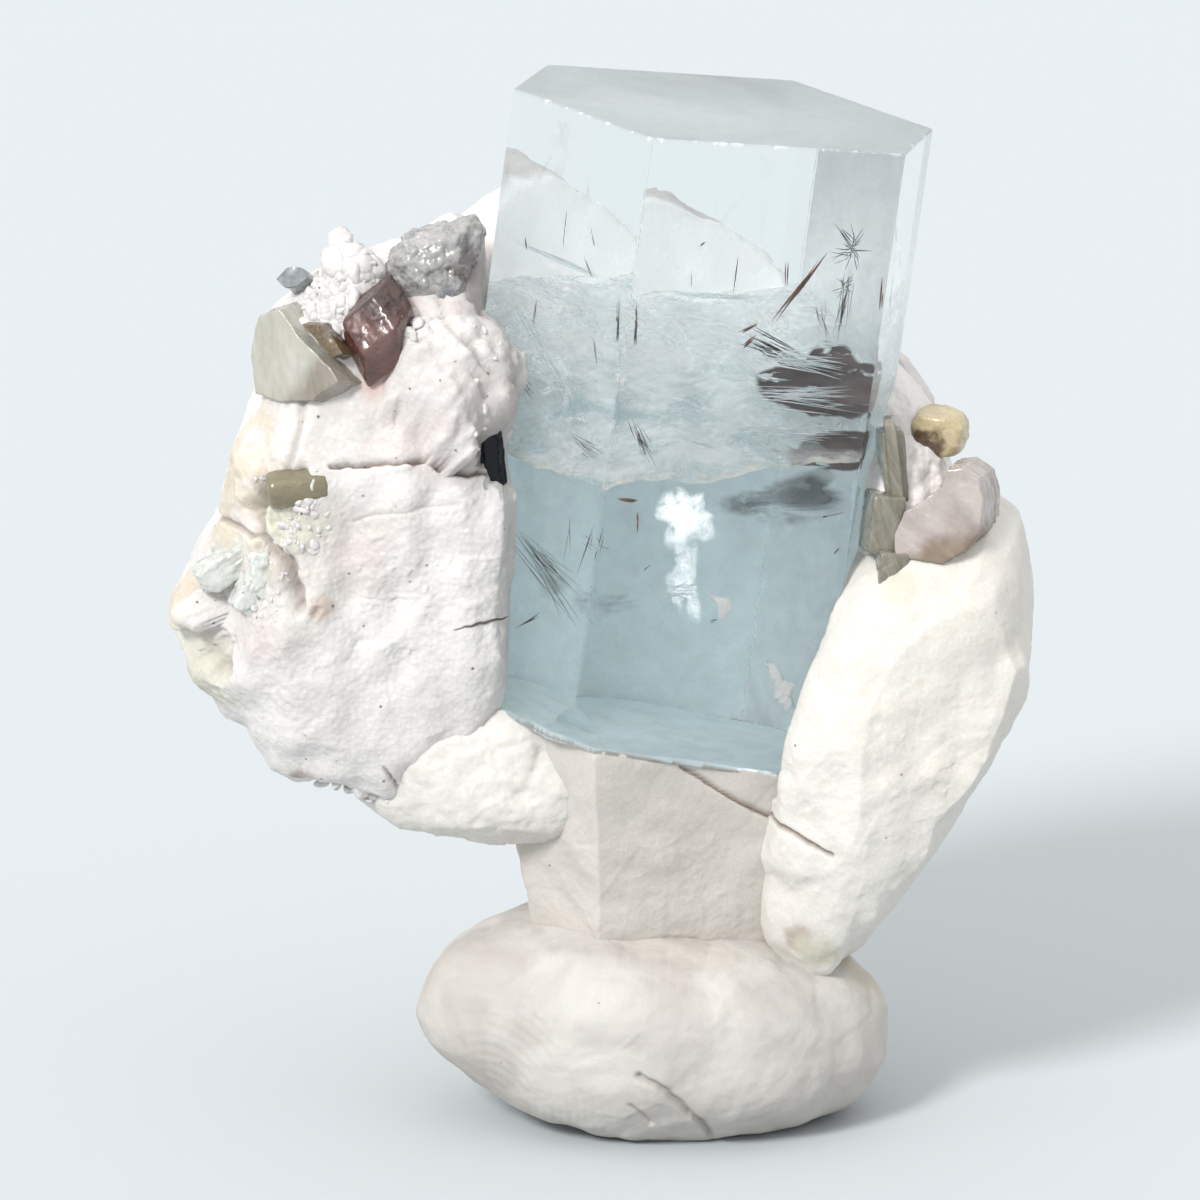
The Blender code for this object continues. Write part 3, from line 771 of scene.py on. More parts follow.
@dataclass
class RockShape:
    """What shapes one rock piece on top of its lump."""

    lump: Lump
    cells: int
    lean: float = 0.0
    knobs: tuple[Egg, ...] = ()
    pits: tuple[Egg, ...] = ()
    pockets: tuple[Planes, ...] = ()
    grooves: tuple[Groove, ...] = ()
    tint_patches: tuple[TintPatch, ...] = ()
    hackle: Pair = (2.8, 0.09)
    rough: Pair = (1.9, 0.14)
    sugar: Pair = (0.5, 0.045)
    floor: float | None = None
    eye: Triple | None = None
    sway: float = 0.05
    halo: float = 0.0
    grip: float = 0.35
    # tint of the whole piece; on the neck it is painted shade, on the shoulder painted light
    base: Triple = (1.0, 1.0, 1.0)

    def first_distance(self, directions: Array) -> Array:
        """Distance from the eye to the lump, halved down between inside and outside.

        Args:
            directions: Unit directions from the eye, one a row.

        Returns:
            The distances; from the lump's own centre they are its reach.
        """
        if self.eye is None:
            return self.lump.reach(directions)
        shift = np.array(self.eye) - np.array(self.lump.centre)
        near, far = np.zeros(len(directions)), np.full(len(directions), FARTHEST)
        for _ in range(HALVINGS):
            middle = (near + far) / 2
            offset = shift + directions * middle[:, None]
            length = np.linalg.norm(offset, axis=1)
            inside = length < self.lump.reach(offset / np.maximum(length, TINY)[:, None])
            near, far = np.where(inside, middle, near), np.where(inside, far, middle)
        return near

    def build(self) -> Made:
        """Distances from the middle: the lump, joined to its knobs, roughened, grooved and cut.

        Returns:
            The closed mesh with its tint and its hollows.
        """
        directions, quads = leaning_ball(self.cells, self.lean)
        centre = np.array(self.eye or self.lump.centre)
        grain = Grain(self.lump.seed + 100)
        distance = self.first_distance(directions)
        start = centre + directions * distance[:, None]
        swayed = unit(directions + self.sway * grain.shifts(start, SWAY_CELL, SWAY_STEP))
        for knob in self.knobs:
            enter, leave = knob.crossing(centre, swayed)
            ragged = leave + KNOB_NOISE[1] * grain.layered(start + 11, KNOB_NOISE[0], 3)
            distance = np.where((enter < leave) & (leave > 0), np.maximum(distance, ragged), distance)
        points = centre + directions * distance[:, None]
        distance = distance + self.relief(points, grain)
        hollow = np.zeros(len(points))
        front = points[:, 1] < centre[1] + FRONT_PART
        for groove in self.grooves:
            share = groove.share(points, grain) * front
            distance = distance - groove.depth * share
            hollow = np.maximum(hollow, share * groove.dirt_and_shade)
        for pit in self.pits:
            enter, leave = pit.crossing(centre, swayed)
            cut = (enter < leave) & (enter > 0) & (enter < distance)
            # Painted shade: the deeper the pit, the darker it is painted.
            shade = smooth_step(distance - enter, 0.0, PIT_SHADE[0]) * PIT_SHADE[1]
            hollow = np.where(cut, np.maximum(hollow, shade), hollow)
            floor = enter + PIT_NOISE[1] * grain.layered(points, PIT_NOISE[0], 3)
            distance = np.where(cut, floor, distance)
        contact = np.zeros(len(points))
        for pocket in self.pockets:
            enter, leave = pocket.crossing(centre, directions)
            cut = (enter < leave) & (enter > 0) & (enter < distance)
            contact = np.where(cut, 1.0, contact)
            distance = np.where(cut, np.minimum(distance, enter + self.grip), distance)
        points = centre + directions * distance[:, None]
        # The painted glow of a contact also fades onto rock just outside the prism.
        if self.halo:
            soft = smooth_step(PRISM.planes().depth(points), -self.halo, -HALO_END)
            contact = np.maximum(contact, soft)
        if self.floor is not None:
            points[:, 2] = np.maximum(points[:, 2], self.floor)
        return Made(points, quads, self.tint(points, grain), {"hollow": hollow, "contact": contact})

    def relief(self, points: Array, grain: Grain) -> Array:
        """Sloping broken facets, lumps of about a millimetre and sugary grains, added up.

        Args:
            points: Places on the smooth rock, one a row.
            grain: Noise of the rock.

        Returns:
            The height at each place.
        """
        steps, border = grain.facets(points, self.hackle[0])
        facets = steps * smooth_step(border, 0.0, 0.12) * self.hackle[1]
        lumps = grain.layered(points, self.rough[0], 3) * self.rough[1]
        sugar, edge = grain.facets(points + 7, self.sugar[0])
        return facets + lumps + sugar * self.sugar[1] * smooth_step(edge, 0, 0.2)

    def tint(self, points: Array, grain: Grain) -> Array:
        """The base tint, with each tinted patch mixed in by its ragged falloff.

        Args:
            points: Places on the rock, one a row.
            grain: Noise of the rock.

        Returns:
            A colour for each place.
        """
        tint = np.ones((len(points), 3)) * self.base
        ragged = grain.layered(points, STAIN_NOISE[0], 4)
        for tint_patch in self.tint_patches:
            gap = np.linalg.norm(points - np.array(tint_patch.centre), axis=1) / tint_patch.radius
            share = smooth_step(1.0 - gap + STAIN_NOISE[1] * ragged, 0.0, 0.6) * tint_patch.strength
            tint += (np.array(tint_patch.colour) - tint) * share[:, None]
        return tint


# ---------------------------------------------------------------------------------------
# The prism


@dataclass(frozen=True)
class Prism:
    """A leaning six-sided prism whose opposite sides are parallel and equal."""

    top: Triple = (4.9, -1.3, 61.9)
    lean: Pair = (0.129, -0.059)
    length: float = 37.9
    foot_slope: float = 0.1
    sides: Triple = (15.4, 7.5, 11.5)
    first_heading: float = 15.0

    def frame(self) -> tuple[Array, Array, Array]:
        """The prism's own directions.

        Returns:
            Unit vectors across, into the depth and up the prism.
        """
        axis = unit(np.array((*self.lean, 1.0)))
        across = unit(np.array((1.0, 0, 0)) - axis * axis[0])
        return across, np.cross(axis, across), axis

    def corners(self) -> Array:
        """The six corners of the section, walked side by side and centred.

        Returns:
            The corners, across and depth.
        """
        headings = np.radians(self.first_heading + 60 * np.arange(5))
        lengths = np.array([self.sides[side % 3] for side in range(5)])
        steps = np.stack((np.cos(headings), np.sin(headings)), 1) * lengths[:, None]
        corners = np.concatenate((np.zeros((1, 2)), np.cumsum(steps, axis=0)))
        return corners - corners.mean(axis=0)

    def at(self, across: float | Array, depth: float | Array, below: float | Array) -> Array:
        """Places given in the prism's own measures.

        Args:
            across: Distances across, from the axis.
            depth: Distances into the depth, from the axis.
            below: Distances below the top.

        Returns:
            The places.
        """
        right, inward, axis = self.frame()
        parts = [np.asarray(part, float)[..., None] for part in (across, depth, below)]
        return np.array(self.top) + parts[0] * right + parts[1] * inward - parts[2] * axis

    def own(self, points: Array) -> Array:
        """The reverse of at: across, depth and below for each place."""
        right, inward, axis = self.frame()
        return (points - np.array(self.top)) @ np.stack((right, inward, -axis), 1)

    def seen(self, right: float, above: float, depth: float) -> Array:
        """The place inside the prism that shows at a spot of the front view.

        The line of sight bends where it enters, by the law of refraction.

        Args:
            right: Millimetres right of the view's middle.
            above: Millimetres above it, square to the line of sight.
            depth: Distance along the bent line, from where it enters.

        Returns:
            The place.
        """
        slope = math.radians(VIEW_ELEVATION)
        rise = np.array((0.0, math.sin(slope), math.cos(slope)))
        eye = np.array(VIEW_TARGET) + facing(0, VIEW_ELEVATION) * VIEW_DISTANCE
        spot = np.array(VIEW_TARGET) + np.array((right, 0, 0)) + rise * above
        sight = unit(spot - eye)
        shape = self.planes()
        enter, _ = shape.crossing(eye, sight[None])
        place = eye + sight * enter[0]
        normal = shape.normals[np.abs(shape.heights - shape.normals @ place).argmin()]
        slant = -(sight @ normal)
        bent = math.sqrt(1 - (1 - slant * slant) / BERYL_IOR**2)
        return place + (sight / BERYL_IOR + normal * (slant / BERYL_IOR - bent)) * depth

    def planes(self) -> Planes:
        """Its six sides and two ends.

        Returns:
            The eight planes, the ends last.
        """
        right, inward, axis = self.frame()
        corners = self.corners()
        runs = np.roll(corners, -1, axis=0) - corners
        outward = unit(np.stack((runs[:, 1], -runs[:, 0]), 1))
        normals = outward[:, :1] * right + outward[:, 1:] * inward
        places = self.at(corners[:, 0], corners[:, 1], np.zeros(6))
        heights = (normals * places).sum(axis=1)
        foot = unit(-axis - self.foot_slope * right)
        middle = self.at(0.0, 0.0, self.length)
        ends = np.array((axis @ np.array(self.top), foot @ middle))
        return Planes(np.concatenate((normals, [axis, foot])), np.concatenate((heights, ends)))


PRISM = Prism()


# ---------------------------------------------------------------------------------------
# Materials


class Graph:
    """A node material on object coordinates, with short calls for the nodes used here."""

    def __init__(self, name: str) -> None:
        """Starts the material with a Principled shader on its output.

        Args:
            name: Name of the material.
        """
        self.material = bpy.data.materials.new(name)
        self.material.use_nodes = True
        self.tree = self.material.node_tree
        self.shader = self.tree.nodes["Principled BSDF"]
        self.output = self.tree.nodes["Material Output"]
        self.place = self.add("ShaderNodeTexCoord").outputs["Object"]

    def add(self, kind: str, **settings: str) -> bpy.types.Node:
        """A new node with its settings.

        Args:
            kind: Blender's name for its type.
            settings: Its properties.

        Returns:
            The node.
        """
        node = self.tree.nodes.new(kind)
        for name, value in settings.items():
            setattr(node, name, value)
        return node

    def feed(self, socket: Socket, value: Value) -> None:
        """Sets a socket to a number or colour, or links it to another node's socket.

        Args:
            socket: The input.
            value: What it gets.
        """
        if isinstance(value, Socket):
            self.tree.links.new(value, socket)
        elif isinstance(value, tuple) and len(value) == 3 and socket.type == "RGBA":
            socket.default_value = (*value, 1.0)
        else:
            socket.default_value = value

    def set(self, **values: Value) -> None:
        """Feeds the shader's sockets, named with underscores for spaces."""
        for name, value in values.items():
            self.feed(self.shader.inputs[name.replace("_", " ")], value)

    def stretched(self, scale: Triple, turn: Triple) -> Socket:
        """Object coordinates for drawn-out patterns.

        Args:
            scale: How far the pattern is drawn out along each axis.
            turn: Degrees about X, Y and Z.

        Returns:
            The coordinates.
        """
        node = self.add("ShaderNodeMapping", vector_type="TEXTURE")
        node.inputs["Rotation"].default_value = [math.radians(angle) for angle in turn]
        node.inputs["Scale"].default_value = scale
        self.feed(node.inputs["Vector"], self.place)
        return node.outputs["Vector"]

    def noise(
        self,
        times: float,
        detail: float,
        rough: float = 0.55,
        warp: float = 0,
        place: Socket | None = None,
    ) -> Socket:
        """Layered noise.

        Args:
            times: Repeats in a millimetre.
            detail: Number of finer layers.
            rough: Height of a layer against the one before.
            warp: How far it is bent by itself.
            place: Coordinates other than the object's.

        Returns:
            A number from 0 to 1.
        """
        node = self.add("ShaderNodeTexNoise")
        self.feed(node.inputs["Vector"], place or self.place)
        settings = {"Scale": times / MM, "Detail": detail, "Roughness": rough, "Distortion": warp}
        for socket, value in settings.items():
            node.inputs[socket].default_value = value
        return node.outputs["Fac"]

    def cells(self, times: float, output: str = "Distance") -> Socket:
        """Voronoi cells.

        Args:
            times: Cells in a millimetre.
            output: Distance for the way to a cell's middle, or Color for a colour each.

        Returns:
            The number or the colour.
        """
        node = self.add("ShaderNodeTexVoronoi")
        self.feed(node.inputs["Vector"], self.place)
        node.inputs["Scale"].default_value = times / MM
        return node.outputs[output]

    def range(
        self, value: Value, low: float, high: float, to_low: float = 0.0, to_high: float = 1.0
    ) -> Socket:
        """Maps one range to another and clamps.

        Args:
            value: The number to map.
            low: Value that becomes to_low.
            high: Value that becomes to_high.
            to_low: One end of the result.
            to_high: Its other end.

        Returns:
            The mapped number.
        """
        node = self.add("ShaderNodeMapRange")
        ends = {"From Min": low, "From Max": high, "To Min": to_low, "To Max": to_high}
        for socket, end in ends.items():
            node.inputs[socket].default_value = end
        self.feed(node.inputs["Value"], value)
        return node.outputs["Result"]

    def sum(self, operation: str, first: Value, second: Value) -> Socket:
        """A Math node.

        Args:
            operation: Blender's name for the sum.
            first: Its first number.
            second: Its second number.

        Returns:
            The result.
        """
        node = self.add("ShaderNodeMath", operation=operation)
        self.feed(node.inputs[0], first)
        self.feed(node.inputs[1], second)
        return node.outputs["Value"]

    def times(self, first: Value, second: Value) -> Socket:
        """The product of two numbers."""
        return self.sum("MULTIPLY", first, second)

    def blended(self, first: Socket, first_share: float, second: Socket, second_share: float) -> Socket:
        """Two numbers added up by their shares."""
        return self.sum("ADD", self.times(first, first_share), self.times(second, second_share))

    def mix(self, share: Value, first: Value, second: Value, blend: str = "MIX") -> Socket:
        """Blends two colours.

        Args:
            share: Share of the second.
            first: Colour at a share of 0.
            second: Colour at a share of 1.
            blend: Blender's name for the way of blending.

        Returns:
            The colour.
        """
        node = self.add("ShaderNodeMix", data_type="RGBA", blend_type=blend)
        self.feed(node.inputs[0], share)
        self.feed(node.inputs[6], first)
        self.feed(node.inputs[7], second)
        return node.outputs[2]

    def tinted(self, colour: Value, tint: Value) -> Socket:
        """The colour multiplied by the tint."""
        return self.mix(1.0, colour, tint, "MULTIPLY")

    def mask(self, name: str) -> Socket:
        """A number painted on the vertices."""
        return self.add("ShaderNodeAttribute", attribute_name=name).outputs["Fac"]

    def tint(self) -> Socket:
        """The colour painted on the vertices."""
        return self.add("ShaderNodeAttribute", attribute_name="tint").outputs["Color"]

    def height(self) -> Socket:
        """Height over the ground.

        Returns:
            The height in metres.
        """
        node = self.add("ShaderNodeSeparateXYZ")
        self.feed(node.inputs["Vector"], self.place)
        return node.outputs["Z"]

    def specks(self, times: float, size: Pair, most: float, share: float) -> Socket:
        """Round specks in some of the cells.

        Args:
            times: Cells in a millimetre.
            size: Distances from a cell's middle at which a speck fades from full to nothing.
            most: How much a speck covers.
            share: Share of the cells that have one.

        Returns:
            A number from 0 to 1.
        """
        spot = self.range(self.cells(times), *size, most, 0.0)
        picked = self.add("ShaderNodeSeparateColor")
        self.feed(picked.inputs[0], self.cells(times, "Color"))
        return self.times(spot, self.sum("LESS_THAN", picked.outputs[0], share))

    def bump(self, height: Socket, depth: float, strength: float = 1.0) -> Socket:
        """Bump for a height from 0 to 1.

        Args:
            height: The height.
            depth: What a height of 1 stands for, in millimetres.
            strength: How much of it shows.

        Returns:
            The bent normal.
        """
        node = self.add("ShaderNodeBump")
        node.inputs["Strength"].default_value = strength
        node.inputs["Distance"].default_value = depth * MM
        self.feed(node.inputs["Height"], height)
        return node.outputs["Normal"]


@dataclass(frozen=True)
class RockFinish:
    """Granular rock: mottled, specked and tinted, with dirt and painted shade in its hollows, slightly
    translucent, and painted light where it touches the crystal: a whiter colour and a glow.
    """

    name: str
    light: Triple
    deep: Triple
    dirt_and_shade: Triple
    speck: Triple
    speck_share: float = 0.03
    grain: float = 3.0
    grain_depth: float = 0.05
    roughness: Pair = (0.5, 0.8)
    glow: float = 0.25
    glow_reach: float = 0.6  # millimetres
    deep_share: float = 0.6
    clean_and_brightened: Triple = (0.985, 0.985, 0.98)  # near white on a face grown onto the crystal: whiter than the rock, partly as painted light so that it shows bright through the glass
    blue: Triple = (0.84, 0.95, 0.985)  # how such a face is tinted low down
    blue_below: Pair = (49.0, 45.0)  # heights between which the tint comes in
    painted_glow: float = 0.26  # painted glow: light given off by such a face, standing in for light that reaches it through the glass
    painted_glow_below_crack: float = 0.2  # share of the painted glow left below the great crack, where it is painted dimmer

    def material(self) -> bpy.types.Material:
        """Builds the node material.

        Returns:
            The material.
        """
        g = Graph(self.name)
        clouds = g.range(g.noise(0.22, 5, 0.6, 0.4), 0.42, 0.72)
        mottle = g.range(g.noise(1.3, 6, 0.65, 0.3), 0.35, 0.7)
        share = g.times(g.blended(clouds, 0.7, mottle, 0.3), self.deep_share)
        colour = g.mix(share, self.light, self.deep)
        sugar = g.cells(self.grain)
        colour = g.mix(g.range(sugar, 0.1, 0.75, 0.0, 0.10), colour, self.deep, "MULTIPLY")
        colour = g.tinted(colour, g.tint())
        # Cracks and pits are darkened: dirt, and painted shade in the hollows.
        colour = g.mix(g.range(g.mask("hollow"), 0.1, 0.9), colour, self.dirt_and_shade)
        colour = g.mix(g.specks(1.1, (0.06, 0.14), 0.9, self.speck_share), colour, self.speck)
        # Painted light: faces against the crystal get a near-white colour and a glow, bluer low down
        # and dimmer below the great crack.
        fresh_and_glow = g.mix(g.range(g.noise(0.5, 6, 0.65, 0.4), 0.4, 0.75, 0.0, 0.5), self.clean_and_brightened, self.light)
        low = g.range(g.height(), *[height * MM for height in self.blue_below])
        fresh_and_glow = g.mix(low, fresh_and_glow, g.tinted(fresh_and_glow, self.blue))
        painted_glow_colour = g.mix(low, fresh_and_glow, g.tinted(fresh_and_glow, (self.painted_glow_below_crack,) * 3))
        contact = g.mask("contact")
        relief = g.blended(sugar, 0.6, g.noise(5.0, 5, 0.6), 0.4)
        g.set(
            Base_Color=g.mix(contact, colour, fresh_and_glow),
            Roughness=g.range(g.noise(2.2, 3), 0.3, 0.7, *self.roughness),
            Normal=g.bump(relief, self.grain_depth, 0.8),
            Subsurface_Weight=self.glow,
            Subsurface_Radius=(1.0, 0.85, 0.7),
            Subsurface_Scale=self.glow_reach * MM,
            Specular_IOR_Level=0.45,
            Emission_Color=g.mix(contact, (0.0, 0.0, 0.0), painted_glow_colour),
            Emission_Strength=self.painted_glow,
        )
        return g.material


@dataclass(frozen=True)
class CrystalFinish:
    """A small crystal: two colours in a drawn-out grain, some gloss and some clearness."""

    name: str
    light: Triple
    deep: Triple
    roughness: Pair = (0.12, 0.4)
    clear: float = 0.0
    grain: Triple = (1.0, 1.0, 1.0)
    turn: Triple = (0, 0, 0)
    times: float = 1.6
    relief: float = 0.03
    coat: float = 0.3
    coat_roughness: float = 0.12
    ior: float = 1.6
    tones: Pair = (0.36, 0.64)

    def material(self) -> bpy.types.Material:
        """Builds the node material.

        Returns:
            The material.
        """
        g = Graph(self.name)
        along = g.stretched(self.grain, self.turn)
        streaks = g.noise(self.times, 6, 0.65, 0.2, along)
        flecks = g.noise(self.times * 3.4, 4, 0.6, 0.0, along)
        share = g.range(g.blended(streaks, 0.75, flecks, 0.25), *self.tones)
        colour = g.mix(share, self.deep, self.light)
        g.set(
            Base_Color=g.tinted(colour, g.tint()),
            Roughness=g.range(flecks, 0.3, 0.7, *self.roughness),
            Normal=g.bump(streaks, self.relief, 0.7),
            Transmission_Weight=self.clear,
            IOR=self.ior,
            Coat_Weight=self.coat,
            Coat_Roughness=self.coat_roughness,
        )
        return g.material


@dataclass(frozen=True)
class ClearFinish:
    """Clear pale blue beryl: plain transmission and absorption, frosted where it is etched."""

    name: str = "clear_beryl"
    ior: float = BERYL_IOR
    absorbed: Triple = (0.45, 0.84, 0.90)
    density: float = 2.8
    surface: Triple = (0.97, 0.99, 0.99)
    frosted: Triple = (0.50, 0.535, 0.545)
    striae_turn: Triple = (-3.4, 7.4, 0)  # along the prism's axis

    def material(self) -> bpy.types.Material:
        """Builds the node material.

        Returns:
            The material.
        """
        g = Graph(self.name)
        frost = g.mask("frost")
        patches = g.range(g.noise(1.0, 5, 0.6), 0.3, 0.7, 0.75, 1.0)
        scratch = g.range(g.noise(3.0, 4, 0.6), 0.66, 0.8, 0.0, 0.05)
        rough = g.sum("ADD", g.times(g.times(frost, patches), 0.55), scratch)
        misty = g.times(frost, g.range(g.noise(0.35, 6, 0.6, 0.5), 0.3, 0.7, 0.28, 0.5))
        etched = g.bump(g.noise(7.0, 4, 0.6), 0.03, 0.6)
        along = g.stretched((0.25, 0.25, 3.0), self.striae_turn)
        striae = g.bump(g.noise(0.5, 3, 0.5, 0.0, along), 0.02, 0.12)
        normals = g.add("ShaderNodeMix", data_type="VECTOR")
        g.feed(normals.inputs[0], frost)
        g.feed(normals.inputs[4], striae)
        g.feed(normals.inputs[5], etched)
        g.set(
            Base_Color=g.mix(g.range(frost, 0.9, 1.0), self.surface, self.frosted),
            Roughness=rough,
            Transmission_Weight=g.sum("SUBTRACT", 1.0, misty),
            IOR=self.ior,
            Normal=normals.outputs[1],
        )
        volume = g.add("ShaderNodeVolumeAbsorption")
        volume.inputs["Color"].default_value = (*self.absorbed, 1.0)
        volume.inputs["Density"].default_value = self.density
        g.tree.links.new(volume.outputs[0], g.output.inputs["Volume"])
        return g.material


@dataclass(frozen=True)
class VeilFinish:
    """A healed crack or a cloud inside the crystal: thin, patchy and see-through."""

    name: str
    light: Triple
    deep: Triple
    cover: Pair = (0.45, 0.62)
    most: float = 0.8
    times: float = 0.8
    grain: Triple = (1.0, 1.0, 1.0)
    turn: Triple = (0, 0, 0)
    roughness: float = 0.3
    detail: float = 7
    rough: float = 0.62
    warp: float = 0.6
    relief: float = 0.1
    edge: Triple | None = None
    silver: float = 0.0

    def material(self) -> bpy.types.Material:
        """Builds the node material: the noise opens holes and the mask fades the rim.

        Returns:
            The material.
        """
        g = Graph(self.name)
        along = g.stretched(self.grain, self.turn)
        wisps = g.noise(self.times, self.detail, self.rough, self.warp, along)
        tones = g.noise(self.times * 0.6, 5, 0.6, 0.3, along)
        cover = g.times(g.range(wisps, *self.cover, 0.0, self.most), g.mask("cover"))
        colour = g.mix(g.range(tones, 0.35, 0.65), self.deep, self.light)
        if self.edge:
            colour = g.mix(g.mask("rim"), colour, self.edge)
        g.set(
            Base_Color=colour,
            Alpha=cover,
            Metallic=self.silver,
            Roughness=self.roughness,
            Normal=g.bump(wisps, self.relief),
        )
        return g.material


@dataclass(frozen=True)
class NeedleFinish:
    """Dark needle crystals, browner in patches."""

    name: str
    light: Triple
    deep: Triple

    def material(self) -> bpy.types.Material:
        """Builds the node material.

        Returns:
            The material.
        """
        g = Graph(self.name)
        tones = g.range(g.noise(1.2, 3), 0.4, 0.62)
        g.set(Base_Color=g.mix(tones, self.deep, self.light), Roughness=0.35)
        return g.material


@dataclass(frozen=True)
class PuttyFinish:
    """Dull kneaded putty: faint skin-like lines, dust, rare dark specks and creases darkened by dust
    and painted shade.
    """

    name: str = "kneaded_putty"
    light: Triple = (0.56, 0.535, 0.50)
    deep: Triple = (0.46, 0.43, 0.405)
    dirt_and_shade: Triple = (0.38, 0.31, 0.27)
    speck: Triple = (0.24, 0.19, 0.17)
    speck_share: float = 0.05
    glow: float = 0.12
    glow_reach: float = 0.4  # millimetres

    def material(self) -> bpy.types.Material:
        """Builds the node material.

        Returns:
            The material.
        """
        g = Graph(self.name)
        share = g.range(g.noise(0.18, 6, 0.6, 0.8), 0.38, 0.68)
        colour = g.tinted(g.mix(share, self.light, self.deep), g.tint())
        # Creases are darkened: dust, and painted shade.
        colour = g.mix(g.range(g.mask("hollow"), 0.2, 1.0, 0.0, 0.7), colour, self.dirt_and_shade)
        colour = g.mix(g.specks(1.2, (0.05, 0.1), 0.8, self.speck_share), colour, self.speck)
        crumb = g.noise(4.0, 6, 0.7)
        g.set(
            Base_Color=colour,
            Roughness=g.range(crumb, 0.3, 0.7, 0.72, 0.95),
            Normal=g.bump(crumb, 0.05, 0.7),
            Subsurface_Weight=self.glow,
            Subsurface_Radius=(1.0, 0.7, 0.5),
            Subsurface_Scale=self.glow_reach * MM,
            Specular_IOR_Level=0.3,
        )
        return g.material


WHITE_ROCK = RockFinish(
    name="white_albite",
    light=(0.71, 0.684, 0.662),
    deep=(0.53, 0.495, 0.488),
    dirt_and_shade=(0.24, 0.19, 0.16),
    speck=(0.10, 0.075, 0.075),
    speck_share=0.22,
    grain_depth=0.08,
)
CREAM_ROCK = RockFinish(
    name="cream_feldspar",
    light=(0.68, 0.656, 0.615),
    deep=(0.57, 0.535, 0.495),
    dirt_and_shade=(0.22, 0.17, 0.13),
    speck=(0.20, 0.14, 0.10),
    speck_share=0.05,
    grain=4.0,
    grain_depth=0.035,
    roughness=(0.45, 0.7),
    glow=0.3,
)


# ---------------------------------------------------------------------------------------
# The crystal and what is inside it


@dataclass(frozen=True)
class Chip:
    """A shell-shaped break: the ball whose bite leaves it."""

    centre: Triple
    radius: float


